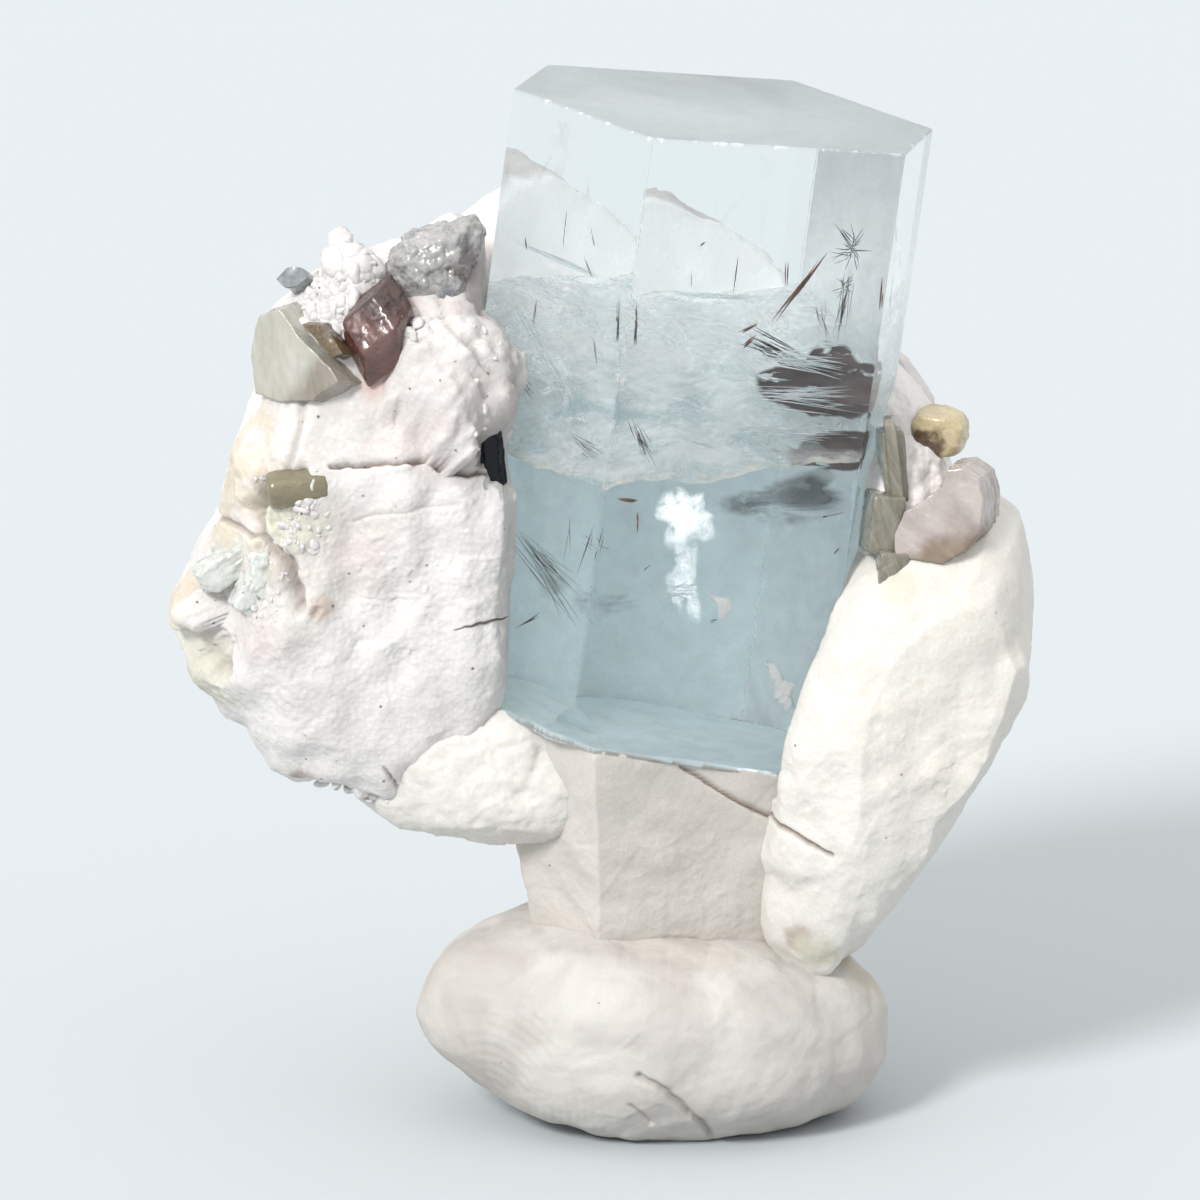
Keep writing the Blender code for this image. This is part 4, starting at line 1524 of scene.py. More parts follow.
@dataclass
class Aquamarine:
    """The clear prism, its breaks, and the veils, needles and flecks inside it."""

    prism: Prism = PRISM
    chips: tuple[Chip, ...] = (
        Chip((17.9, -10.6, 61.0), 4.0),
        Chip((-5.6, -12.6, 24.4), 5.2),
    )
    rim_bites: int = 46
    bite_radius: Pair = (0.15, 0.6)
    edge_wear: float = 0.07
    frost_rows: tuple[int, int] = (2, 4)  # the sides that are etched
    frost_facing: float = 0.98  # how squarely a face must look a way to count as that side
    frost_drop: float = 0.7  # breaks no farther than this below the top are frosted too

    def build(self) -> None:
        """Makes every piece of the crystal."""
        self.make_prism()
        self.make_fracture()
        self.make_veils()
        self.make_needles()
        self.make_flecks()

    def make_prism(self) -> None:
        """The section lofted down the axis, worn along its edges, with breaks bitten out."""
        corners = self.prism.corners()
        drops = (np.zeros(6), self.prism.length + self.prism.foot_slope * corners[:, 0])
        rings = [self.prism.at(corners[:, 0], corners[:, 1], drop) for drop in drops]
        bm = bmesh.new()
        top, foot = [[bm.verts.new(point * MM) for point in ring] for ring in rings]
        bm.faces.new(top)
        bm.faces.new(foot[::-1])
        for side in range(6):
            after = (side + 1) % 6
            bm.faces.new((top[after], top[side], foot[side], foot[after]))
        bmesh.ops.recalc_face_normals(bm, faces=bm.faces)
        bmesh.ops.bevel(bm, geom=bm.edges, offset=self.edge_wear * MM, segments=2, affect="EDGES")
        mesh = bpy.data.meshes.new("aquamarine_prism")
        bm.to_mesh(mesh)
        bm.free()
        obj = linked("uncut_prism", mesh)
        for chip in (*self.chips, *self.bites()):
            self.bite(obj, chip)
        bpy.context.view_layer.update()
        graph = bpy.context.evaluated_depsgraph_get()
        finished = bpy.data.meshes.new_from_object(obj.evaluated_get(graph))
        for helper in [obj, *[m.object for m in obj.modifiers]]:
            bpy.data.objects.remove(helper, do_unlink=True)
        self.mark_frost(finished)
        place_piece("aquamarine_prism", finished, ClearFinish().material(), Node.AQUAMARINE)

    def bites(self) -> list[Chip]:
        """Small breaks strung along the front rim of the top.

        Returns:
            The breaks.
        """
        rng = np.random.default_rng(5)
        corners = self.prism.corners()
        rim = [corners[side] for side in (5, 0, 1, 2)]
        found = []
        for _ in range(self.rim_bites):
            side = rng.choice(3, p=(0.3, 0.6, 0.1))
            along = rng.uniform(0.02, 0.98)
            radius = rng.uniform(*self.bite_radius) ** 1.3
            across, depth = rim[side] + (rim[side + 1] - rim[side]) * along
            shift = radius * rng.uniform(0.55, 0.85)
            out = unit(np.array((across, depth))) * shift * 0.6
            centre = self.prism.at(across + out[0], depth + out[1], -shift * 0.7)
            found.append(Chip(tuple(centre), radius))
        return found

    def bite(self, obj: bpy.types.Object, chip: Chip) -> None:
        """Takes a rippled ball out of the object with a Boolean.

        Args:
            obj: The prism.
            chip: Where the ball is and how large.
        """
        directions, quads = cube_ball(20 if chip.radius > 2 else 4)
        grain = Grain(int(chip.radius * 1000) % 97)
        ripple = 1 + 0.03 * grain.layered(directions, 0.7, 2)
        points = np.array(chip.centre) + directions * (chip.radius * ripple)[:, None]
        ball = linked("bite", fill_mesh("bite", points, quads))
        ball.hide_render = True
        modifier = obj.modifiers.new("bite", "BOOLEAN")
        modifier.operation = "DIFFERENCE"
        modifier.solver = "EXACT"
        modifier.object = ball

    def mark_frost(self, mesh: bpy.types.Mesh) -> None:
        """Marks the top, the breaks along it and the two narrow back faces as frosted.

        Args:
            mesh: The finished prism.
        """
        count = len(mesh.polygons)
        normals, centres = np.empty(count * 3, np.float32), np.empty(count * 3, np.float32)
        mesh.polygons.foreach_get("normal", normals)
        mesh.polygons.foreach_get("center", centres)
        normals = normals.reshape(-1, 3)
        _, _, axis = self.prism.frame()
        below = self.prism.own(centres.reshape(-1, 3) / MM)[:, 2]
        upward = normals @ axis
        frost = np.where(upward > self.frost_facing, 1.0, 0.0)
        broken = (below < self.frost_drop) & (upward > 0.1)
        frost = np.where(broken, np.maximum(frost, 0.5), frost)
        for side in self.frost_rows:
            etched = normals @ self.prism.planes().normals[side] > self.frost_facing
            frost = np.where(etched, 0.85, frost)
        layer = mesh.attributes.new("frost", "FLOAT", "FACE")
        layer.data.foreach_set("value", frost.astype(np.float32))
        mesh.polygons.foreach_set("use_smooth", np.zeros(count, bool))

    def crack_height(self, across: Array, depth: Array) -> Array:
        """How far below the top the great crack runs: it climbs to the back, with waves.

        Args:
            across: Distances across the prism.
            depth: Distances into its depth.

        Returns:
            The distances below the top.
        """
        left = 0.35 * np.maximum(-across - 1, 0) * np.clip(0.5 - depth / 8, 0, 1)
        slope = 15.9 - 0.52 * depth + left
        flat = np.stack((across, depth, across * 0), -1).reshape(-1, 3)
        noise = Grain(72).layered(flat, 3.2, 4).reshape(across.shape)
        return slope + 0.25 * np.sin(across * 0.5 + 1.0) + 0.5 * noise

    def make_fracture(self) -> None:
        """The great crack: a wavy sheet over the whole section, cream where it meets the front."""
        half = 0.03
        outline = walked(self.prism.corners() * 0.988, 240)
        turns = np.linspace(0, math.pi, 122)[1:-1]
        flat = outline[None] * np.sin(turns)[:, None, None]
        across, depth = flat[..., 0], flat[..., 1]
        below = self.crack_height(across, depth) + half * np.cos(turns)[:, None]
        middle = float(self.crack_height(np.zeros(1), np.zeros(1))[0])
        tips = [self.prism.at(0.0, 0.0, middle + side * half) for side in (1, -1)]
        points, faces = closed_rings(self.prism.at(across, depth, below), *tips)
        planes = self.prism.planes()
        fronts = Planes(planes.normals[[0, 5]], planes.heights[[0, 5]])
        near = smooth_step(fronts.depth(points) + 0.5 * Grain(73).layered(points, 1.0, 3), 0.9, 0.1)
        own = self.prism.own(points)
        open_right = 1 - 0.55 * smooth_step(own[:, 0], 3.0, 7.0)
        finish = VeilFinish(
            name="great_crack",
            light=(0.98, 0.99, 0.99),
            deep=(0.93, 0.97, 0.98),
            edge=(0.97, 0.94, 0.86),
            cover=(0.34, 0.62),
            most=0.75,
            times=0.42,
            grain=(1.6, 1.0, 1.0),
            turn=(0, 8, 0),
            relief=0.07,
        )
        made = Made(points, faces, masks={"cover": np.maximum(open_right, near), "rim": near})
        add_piece("great_crack", made, finish.material(), Node.AQUAMARINE)

    def make_veils(self) -> None:
        """Feathers, smoky patches, a dark lens of painted reflection, a glassy flash and dark mica,
        each a thin wavy lens.
        """
        finishes = {
            Inside.FEATHER: VeilFinish(
                "feather", (0.97, 0.99, 0.99), (0.85, 0.93, 0.95),
                cover=(0.5, 0.62), most=0.9, times=0.9, grain=(3.0, 1.0, 0.8), turn=(0, 10, 0),
            ),
            Inside.SMOKE: VeilFinish(
                "smoky_veil_and_dark_reflection", (0.20, 0.25, 0.27), (0.08, 0.10, 0.11),
                cover=(0.33, 0.60), most=0.85, times=0.6, grain=(2.5, 1.0, 0.8),
            ),
            Inside.FLASH: VeilFinish(
                "bright_facet", (0.98, 0.99, 1.0), (0.93, 0.97, 0.98),
                cover=(0.34, 0.58), most=0.95, times=1.3, roughness=0.28, relief=0.01, silver=1.0,
            ),
            Inside.MICA: VeilFinish(
                "mica_inside", (0.15, 0.105, 0.095), (0.035, 0.025, 0.024),
                cover=(0.38, 0.46), most=1.0, times=0.9, grain=(2.6, 1.0, 0.6), turn=(0, 4, 0),
            ),
        }
        materials = {kind: finish.material() for kind, finish in finishes.items()}
        for number, veil in enumerate(VEILS):
            name = f"{veil.kind.value}_{number + 1}"
            add_piece(name, veil.build(), materials[veil.kind], Node.AQUAMARINE)

    def make_needles(self) -> None:
        """Needle crystals and hair cracks as spindles, one piece for each colour."""
        for name, sheaves, light, deep in (
            ("brown_needles", BROWN_SHEAVES, (0.32, 0.13, 0.06), (0.10, 0.04, 0.02)),
            ("black_needles", BLACK_SHEAVES, (0.10, 0.08, 0.08), (0.02, 0.018, 0.02)),
            ("pale_threads", PALE_SHEAVES, (0.97, 0.99, 1.0), (0.75, 0.85, 0.88)),
        ):
            parts = [sheaf.build() for sheaf in sheaves]
            shifts = np.cumsum([0] + [len(points) for points, _ in parts[:-1]])
            points = np.concatenate([points for points, _ in parts])
            faces = np.concatenate([faces + shift for (_, faces), shift in zip(parts, shifts)])
            material = NeedleFinish(name, light, deep).material()
            add_piece(name, Made(points, faces), material, Node.AQUAMARINE)

    def make_flecks(self) -> None:
        """White flecks of rock caught under the front faces, from their outlines."""
        material = RockFinish(
            "white_fleck", (0.96, 0.93, 0.92), (0.84, 0.80, 0.79), (0.6, 0.5, 0.5), (0.5, 0.4, 0.4)
        ).material()
        for number, (place, corners) in enumerate(FLECKS):
            points, faces, _ = lens(walked(np.array(corners), 90), 24, 0.22)
            points += 0.12 * Grain(80 + number).shifts(points, 0.5)
            made = Made(points + self.prism.seen(*place), faces, np.ones((len(points), 3)))
            add_piece(f"white_fleck_{number + 1}", made, material, Node.AQUAMARINE)


class Inside(Enum):
    """The kinds of lens inside the crystal."""

    FEATHER = "feather"
    SMOKE = "smoke_and_dark_reflection"
    FLASH = "flash"
    MICA = "mica_flake"


@dataclass(frozen=True)
class Veil:
    """A wavy lens in the prism: its kind, half sizes, place as seen, tilt and seed."""

    kind: Inside
    half: Pair
    place: Triple
    tilt: Triple
    seed: int
    wave: float = 0.5
    ragged: float = 0.25
    fade: float = 0.35
    strength: float = 1.0

    def build(self) -> Made:
        """A ragged oval lens whose Y is shifted by noise, faded towards its rim.

        Returns:
            The closed mesh, held inside the prism.
        """
        angles = np.linspace(0, 2 * math.pi, 97)[:-1]
        grain = Grain(self.seed)
        circle = np.stack((np.cos(angles), np.sin(angles)), 1)
        ring = np.stack((circle[:, 0], np.zeros(len(angles)), circle[:, 1]), 1)
        radius = 1 + self.ragged * grain.layered(ring, 0.8, 4)
        points, faces, share = lens(circle * np.array(self.half) * radius[:, None], 80, 0.02)
        points[:, 1] += self.wave * grain.layered(points * (1, 0, 1), 4.0, 3)
        placed = turned(points, tuple(PRISM.seen(*self.place)), self.tilt)
        walls = PRISM.planes().grown(-VEIL_ROOM)
        for normal, height in zip(walls.normals, walls.heights):
            placed -= np.maximum(placed @ normal - height, 0)[:, None] * normal
        cover = self.strength * smooth_step(1 - share, 0.0, self.fade)
        return Made(placed, faces, masks={"cover": cover})


@dataclass(frozen=True)
class Sheaf:
    """Needles that spread about a line between two places as seen: right, above and depth."""

    start: Triple
    end: Triple
    count: int = 1
    spread: float = 0.0
    width: float = 0.06
    seed: int = 1
    bend: float = 0.0

    def build(self) -> Surface:
        """Spindles: straight lines with jittered ends, thickest in the middle.

        Returns:
            Points and triangles.
        """
        rng = np.random.default_rng(self.seed)
        start, end = PRISM.seen(*self.start), PRISM.seen(*self.end)
        starts = start + rng.normal(size=(self.count, 3)) * self.spread * 0.6
        ends = end + rng.normal(size=(self.count, 3)) * self.spread
        shares = np.linspace(0, 1, 7)
        low = rng.uniform(0.0, 0.45, self.count) * (self.count > 1)
        high = 1 - rng.uniform(0.0, 0.45, self.count) * (self.count > 1)
        part = low[:, None] + (high - low)[:, None] * shares
        paths = starts[:, None] + (ends - starts)[:, None] * part[..., None]
        belly = np.sin(shares * math.pi)
        paths += self.bend * belly[None, :, None] * unit(rng.normal(size=(self.count, 1, 3)))
        radii = self.width / 2 * rng.uniform(0.6, 1.3, (self.count, 1)) * (0.15 + belly)[None]
        return tubes(paths, radii)


def spray(centre: Triple, count: int, length: float, seed: int, width: float) -> tuple[Sheaf, ...]:
    """Needles that burst from about one place in every direction.

    Args:
        centre: The place, as seen.
        count: Number of needles.
        length: Length of the longest ones.
        seed: Number that fixes them.
        width: Thickness of a needle.

    Returns:
        A sheaf of one for each needle.
    """
    rng = np.random.default_rng(seed)
    found = []
    for number in range(count):
        start = np.array(centre) + rng.normal(size=3) * (0.08, 0.12, 0.1) * length
        towards = unit(rng.normal(size=3) * (1.0, 0.9, 0.4)) * length * rng.uniform(0.25, 0.75)
        found.append(Sheaf(tuple(start), tuple(start + towards), width=width, seed=seed + number))
    return tuple(found)


VEILS = (
    Veil(Inside.MICA, (3.6, 2.6), (13.5, 12.9, 2.6), (-16, 0, 10), 64, 0.3, 0.22, 0.12),
    Veil(Inside.MICA, (2.6, 1.5), (13.9, 9.0, 1.5), (-20, -6, 10), 65, 0.2, 0.3, 0.15),
    Veil(Inside.FEATHER, (4.6, 0.9), (12.6, 12.6, 5.0), (-62, 8, -10), 66, 0.5),
    Veil(Inside.FEATHER, (4.2, 1.0), (11.0, 9.6, 4.0), (-66, -4, 0), 67, 0.5),
    Veil(Inside.FEATHER, (5.6, 0.8), (4.0, 18.2, 12.0), (-70, -4, -4), 61, 0.4),
    Veil(Inside.FEATHER, (5.6, 1.5), (-3.4, 14.0, 3.0), (-24, 48, -38), 62, 0.8),
    # Painted reflection: this dark lens stands for a dark reflection just under the great crack at the
    # right; the two after it are smoky clouds.
    Veil(Inside.SMOKE, (4.4, 1.7), (12.0, 6.1, 1.6), (-10, -2, 12), 71, 0.3, 0.4, 0.45),
    Veil(Inside.SMOKE, (1.9, 0.8), (0.9, -0.3, 3.0), (0, 0, 10), 72, 0.3, 0.3, 0.9, 0.45),
    Veil(Inside.SMOKE, (1.7, 1.4), (-3.0, 0.8, 2.0), (0, 30, -40), 73, 0.3, 0.3, 0.9, 0.35),
    Veil(Inside.FLASH, (1.9, 1.6), (5.2, 5.2, 1.6), (-15, 0, -2), 74, 0.05, 0.55, 0.7),
    Veil(Inside.FLASH, (1.2, 3.4), (4.9, 1.6, 2.2), (-15, -10, -2), 75, 0.05, 0.5, 1.0, 0.8),
)
BROWN_SHEAVES = (
    Sheaf((13.7, 21.0, 3.4), (10.3, 16.5, 3.8), 9, 0.17, 0.075, 11),
    Sheaf((9.6, 16.6, 3.4), (8.1, 15.9, 3.4), 6, 0.12, 0.08, 12),
    Sheaf((9.5, 16.1, 3.4), (8.1, 14.7, 3.4), 6, 0.12, 0.08, 13),
    Sheaf((11.3, 21.3, 4.0), (11.2, 18.2, 4.0), 2, 0.10, 0.07, 14),
    Sheaf((17.0, 19.4, 3.0), (16.8, 17.0, 3.0), 2, 0.06, 0.10, 15),
    Sheaf((0.1, 6.2, 1.5), (2.4, 5.9, 1.5), 3, 0.10, 0.12, 16),
    Sheaf((2.3, 6.0, 1.6), (2.3, 4.0, 1.6), 2, 0.08, 0.10, 17),
    Sheaf((12.5, 4.7, 1.2), (15.2, 5.2, 1.2), 2, 0.06, 0.09, 18),
    Sheaf((13.9, 2.6, 1.2), (15.1, 3.4, 1.2), 2, 0.08, 0.06, 19),
    Sheaf((-3.8, 18.1, 1.6), (-4.0, 16.4, 1.6), 2, 0.06, 0.07, 20),
    Sheaf((2.0, 17.9, 3.0), (2.3, 15.6, 3.0), 2, 0.06, 0.08, 21),
)
BLACK_SHEAVES = (
    *spray((15.1, 21.0, 2.4), 30, 1.9, 31, 0.04),
    *spray((14.7, 18.8, 2.4), 22, 1.3, 81, 0.035),
    Sheaf((14.0, 22.8, 2.4), (15.3, 20.8, 2.4), 5, 0.14, 0.06, 131),
    Sheaf((15.1, 20.2, 2.4), (14.3, 15.0, 2.4), 16, 0.42, 0.032, 132, 0.12),
    Sheaf((13.0, 18.2, 2.4), (13.7, 15.2, 2.4), 8, 0.34, 0.03, 133, 0.1),
    Sheaf((-2.0, 23.5, 2.0), (-2.3, 20.8, 2.0), 2, 0.05, 0.06, 134),
    Sheaf((-0.6, 22.7, 2.0), (-0.3, 20.8, 2.0), 2, 0.08, 0.05, 135),
    Sheaf((-1.1, 20.9, 2.0), (-0.2, 18.6, 2.0), 2, 0.08, 0.05, 136),
    Sheaf((-4.5, 21.8, 1.5), (-4.4, 21.0, 1.5), 1, 0.0, 0.08, 137),
    Sheaf((1.2, 18.3, 2.5), (1.0, 15.2, 2.5), 4, 0.08, 0.07, 138),
    Sheaf((-0.4, 15.9, 2.0), (-0.1, 13.7, 2.0), 3, 0.10, 0.06, 139),
    Sheaf((8.3, 20.7, 5.0), (8.0, 18.4, 5.0), 1, 0.0, 0.06, 140),
    Sheaf((5.5, 19.8, 5.0), (5.5, 18.7, 5.0), 1, 0.0, 0.05, 141),
    Sheaf((5.9, 21.1, 5.0), (6.4, 21.6, 5.0), 2, 0.05, 0.07, 142),
    Sheaf((-6.3, 15.4, 0.8), (-3.8, 11.8, 1.0), 26, 0.3, 0.05, 143),
    Sheaf((1.9, 11.0, 0.9), (3.1, 8.4, 0.8), 16, 0.3, 0.04, 144),
    Sheaf((-1.9, 10.0, 0.8), (0.4, 8.3, 0.8), 12, 0.24, 0.04, 145),
    Sheaf((-0.1, 5.0, 1.5), (-1.3, 1.4, 1.5), 4, 0.22, 0.04, 146),
    Sheaf((-1.7, 5.0, 1.5), (-1.9, 1.6, 1.5), 2, 0.16, 0.035, 147),
    Sheaf((-1.1, 3.7, 1.5), (0.4, 2.9, 1.5), 3, 0.20, 0.03, 148),
    Sheaf((-5.6, 4.6, 1.0), (-1.2, -0.6, 1.4), 30, 0.8, 0.032, 149),
    Sheaf((-5.1, -1.7, 0.3), (-3.2, -0.6, 0.8), 4, 0.08, 0.05, 154),
    Sheaf((6.2, -1.3, 1.5), (7.2, -1.2, 1.5), 2, 0.05, 0.06, 150),
    Sheaf((2.5, 1.6, 1.5), (3.1, 2.2, 1.5), 2, 0.05, 0.06, 151),
    Sheaf((8.6, 16.0, 4.4), (12.5, 14.2, 4.4), 22, 0.5, 0.06, 152),
    Sheaf((10.0, 9.3, 3.0), (14.6, 8.3, 3.0), 24, 0.35, 0.06, 153),
)
PALE_SHEAVES = (
    Sheaf((8.6, 14.8, 1.6), (15.0, 14.0, 1.6), 30, 0.5, 0.05, 161),
    Sheaf((8.4, 12.4, 1.4), (15.4, 12.0, 1.4), 34, 0.5, 0.05, 162),
    Sheaf((7.6, 10.2, 1.2), (15.0, 10.0, 1.2), 30, 0.4, 0.05, 163),
    Sheaf((9.8, 8.2, 2.4), (15.0, 8.6, 2.4), 16, 0.3, 0.07, 164),
    Sheaf((3.0, 0.6, 1.6), (7.0, 0.9, 1.6), 18, 0.5, 0.045, 165),
    Sheaf((0.6, 18.9, 6.0), (10.8, 18.0, 6.0), 12, 0.16, 0.05, 166),
    Sheaf((-6.2, 19.8, 1.0), (-0.2, 9.0, 2.4), 14, 0.5, 0.05, 167),
    Sheaf((-5.6, 21.8, 1.4), (0.4, 19.2, 3.0), 8, 0.14, 0.06, 168),
)
FLECKS = (
    (
        (7.2, -0.4, 0.6),
        ((-0.65, 0.75), (0.7, 0.5), (0.7, -0.1), (0.3, -0.7), (0.0, -0.7), (-0.25, 0.0)),
    ),
    (
        (11.0, -5.1, 0.6),
        (
            (-1.1, 1.5), (-0.35, 1.0), (0.0, 0.35), (0.8, 0.0), (0.5, -0.65), (0.8, -1.5),
            (0.3, -1.6), (-0.5, -0.85), (-0.8, 0.35),
        ),
    ),
    ((1.3, 13.1, 0.8), ((-0.2, -0.1), (0.0, 0.4), (0.3, 0.3), (0.2, -0.4))),
)


# ---------------------------------------------------------------------------------------
# The white rock


LEFT_LUMP = Lump(
    centre=(-16.2, 0.3, 35.5),
    rim=(
        (-6.5, 36.0), (-7.5, 43.0), (-9.4, 49.0), (-9.4, 54.2), (-11.2, 54.9), (-13.8, 53.9),
        (-17.4, 52.6), (-20.6, 50.6), (-22.7, 48.3), (-22.4, 44.6), (-24.5, 40.0),
        (-24.8, 36.9), (-27.2, 33.7), (-28.1, 31.8), (-27.2, 28.8), (-26.4, 26.8),
        (-23.6, 24.2), (-22.2, 21.6), (-17.8, 20.4), (-14.4, 19.2), (-12.6, 19.2),
        (-10.4, 20.8), (-8.9, 22.8), (-7.4, 25.6), (-6.8, 31.0),
    ),
    front=8.3,
    back=8.8,
    squareness=2.8,
    cuts=((-50, 8, 9.0), (20, -40, 13.4), (-25, 38, 15.0), (165, 15, 7.8)),
    chips=34,
    chip_depth=0.55,
    relief=0.35,
    seed=3,
)
WALL_LUMP = Lump(
    centre=(4.4, 8.6, 37.6),
    rim=(
        (19.0, 37.6), (18.2, 40.6), (17.2, 43.2), (15.7, 45.2), (13.2, 46.9), (9.6, 49.3),
        (6.4, 52.4), (3.0, 55.2), (-0.6, 56.8), (-4.4, 56.4), (-8.2, 54.6), (-11.6, 52.6),
        (-13.0, 46.0), (-13.4, 36.0), (-11.6, 25.0), (-5.0, 20.6), (3.7, 19.8),
        (10.0, 22.4), (15.0, 27.6), (18.6, 32.2),
    ),
    front=7.0,
    back=6.2,
    squareness=3.0,
    cuts=((160, 20, 5.6), (205, -15, 5.7)),
    chips=26,
    chip_depth=0.5,
    relief=0.35,
    seed=8,
)
FILL_LUMP = Lump(
    centre=(-9.4, 7.2, 38.0),
    rim=(
        (-3.0, 38.0), (-3.6, 46.0), (-6.4, 51.6), (-10.2, 52.8), (-14.0, 49.4), (-16.2, 43.0),
        (-16.6, 36.0), (-15.4, 29.0), (-12.4, 24.0), (-8.2, 22.8), (-4.4, 26.6), (-3.2, 32.0),
    ),
    front=4.0,
    back=5.4,
    squareness=2.4,
    chips=12,
    chip_depth=0.5,
    relief=0.35,
    seed=17,
)
FOOT_FILL_LUMP = Lump(
    centre=(-1.6, 8.6, 26.0),
    rim=(
        (7.6, 26.0), (6.8, 29.0), (3.0, 30.6), (-2.0, 31.0), (-6.2, 30.4), (-8.4, 28.0),
        (-8.8, 25.4), (-7.2, 22.6), (-3.6, 21.6), (1.0, 21.4), (5.0, 22.2), (7.0, 24.0),
    ),
    front=4.0,
    back=4.4,
    squareness=2.4,
    chips=8,
    chip_depth=0.4,
    relief=0.3,
    seed=19,
)
SHOULDER_LUMP = Lump(
    centre=(16.3, 3.2, 39.6),
    rim=(
        (14.6, 46.2), (15.4, 45.6), (16.2, 44.7), (17.0, 43.2), (17.8, 41.2), (18.2, 39.0),
        (17.8, 36.0), (16.8, 33.6), (14.6, 32.6), (12.4, 35.0), (12.2, 40.0), (13.0, 44.8),
    ),
    front=5.2,
    back=6.0,
    squareness=2.6,
    chips=10,
    chip_depth=0.3,
    relief=0.2,
    seed=47,
)
NECK_LUMP = Lump(
    centre=(0.9, 0.8, 16.6),
    rim=(
        (10.4, 17.0), (10.6, 25.2), (4.0, 26.0), (-4.0, 26.6), (-8.6, 26.6), (-7.9, 22.0),
        (-7.3, 18.0), (-6.5, 14.4), (-5.6, 10.4), (-4.6, 8.2), (1.0, 7.4), (8.4, 7.2),
        (10.2, 11.0),
    ),
    front=9.4,
    back=8.0,
    squareness=5.0,
    cuts=((14, -10, 6.4), (-44, -8, 7.8), (180, -8, 7.6), (65.4, 81.9, 8.7)),
    chips=10,
    chip_depth=0.3,
    relief=0.16,
    seed=12,
)
LEDGE_LUMP = Lump(
    centre=(-9.0, 0.2, 22.4),
    rim=(
        (-1.0, 22.4), (-2.0, 25.6), (-9.0, 25.8), (-16.4, 22.8), (-17.5, 21.3), (-16.9, 19.6),
        (-15.2, 18.6), (-12.0, 18.2), (-8.5, 17.8), (-5.0, 18.0), (-2.0, 18.2),
    ),
    front=6.4,
    back=6.6,
    squareness=3.4,
    chips=8,
    chip_depth=0.3,
    relief=0.2,
    seed=14,
)
WING_LUMP = Lump(
    centre=(15.0, -0.8, 23.4),
    rim=(
        (23.2, 26.0), (23.0, 28.4), (23.4, 31.4), (23.3, 34.4), (22.6, 37.2), (21.2, 38.4),
        (18.8, 38.0), (15.2, 36.6), (11.6, 34.0), (9.4, 29.0), (8.0, 24.6), (7.4, 20.4),
        (7.2, 15.6), (7.5, 11.0), (8.4, 9.0), (9.4, 7.8), (10.9, 7.9), (12.0, 9.2),
        (13.6, 10.5), (14.3, 12.1), (15.0, 13.8), (15.9, 16.2), (17.2, 17.3), (18.5, 18.5),
        (19.5, 19.9), (20.5, 21.5), (21.4, 23.2), (22.4, 24.4),
    ),
    front=8.3,
    back=7.4,
    squareness=2.7,
    cuts=((14, 0, 7.5), (60, -14, 7.6), (165, 10, 6.8)),
    chips=16,
    chip_depth=0.4,
    relief=0.22,
    seed=21,
)
PUTTY_LUMP = Lump(
    centre=(1.1, -1.4, 6.4),
    rim=(
        (15.0, 6.8), (14.2, 8.4), (12.9, 9.8), (9.0, 10.6), (4.0, 11.4), (-1.0, 12.0),
        (-5.6, 12.3), (-8.6, 12.0), (-11.2, 10.7), (-12.9, 8.6), (-13.6, 6.5), (-13.1, 5.0),
        (-11.4, 3.5), (-8.8, 1.9), (-5.0, 0.4), (1.2, -0.5), (4.4, 0.0), (8.4, -0.3),
        (11.6, 0.3), (14.0, 1.8), (15.1, 3.8),
    ),
    front=9.8,
    back=12.6,
    squareness=2.1,
    relief=0.12,
    seed=30,
)

PINK = (0.93, 0.86, 0.86)
GREY = (0.74, 0.71, 0.71)
BUFF = (0.87, 0.81, 0.69)
BROWN = (0.46, 0.33, 0.26)
GREEN = (0.86, 0.87, 0.76)
BLACK = (0.10, 0.09, 0.09)


def front_spots(surface: Array, spots: Array) -> Array:
    """The surface point that shows at each spot of the front view.

    Args:
        surface: Points of the surface, one a row.
        spots: Places right of and above the view's middle, one a row.

    Returns:
        One of the points for each spot.
    """
    rise = math.radians(VIEW_ELEVATION)
    offset = surface - np.array(VIEW_TARGET)
    above = offset[:, 2] * math.cos(rise) + offset[:, 1] * math.sin(rise)
    nearer = offset @ facing(0, VIEW_ELEVATION)
    gap = (offset[:, 0] - spots[:, :1]) ** 2 + (above - spots[:, 1:]) ** 2
    return surface[(gap * SPOT_PULL - nearer * NEAR_PULL).argmin(axis=1)]


@dataclass(frozen=True)
class Crust:
    """Sugary grains of rock strewn over an oval of the front view, in the view's measures."""

    middle: Pair
    half: Pair
    count: int
    size: Pair
    seed: int
    sunk: float = 0.5

    def grains(self, surface: Array) -> tuple[Array, Array]:
        """Places and sizes: each grain sits on the front-most surface point at its spot.

        Args:
            surface: Points of the piece that carries the grains.

        Returns:
            Middles, one a row, and radii.
        """
        rng = np.random.default_rng(self.seed)
        turns = rng.uniform(0, 2 * math.pi, self.count)
        reach = np.sqrt(rng.uniform(0, 1, self.count))
        circle = np.stack((np.cos(turns), np.sin(turns)), 1)
        spots = np.array(self.middle) + np.array(self.half) * circle * reach[:, None]
        sizes = self.size[0] + (self.size[1] - self.size[0]) * rng.uniform(0, 1, self.count) ** 2
        sunk = facing(0, VIEW_ELEVATION) * (sizes * self.sunk)[:, None]
        return front_spots(surface, spots) - sunk, sizes


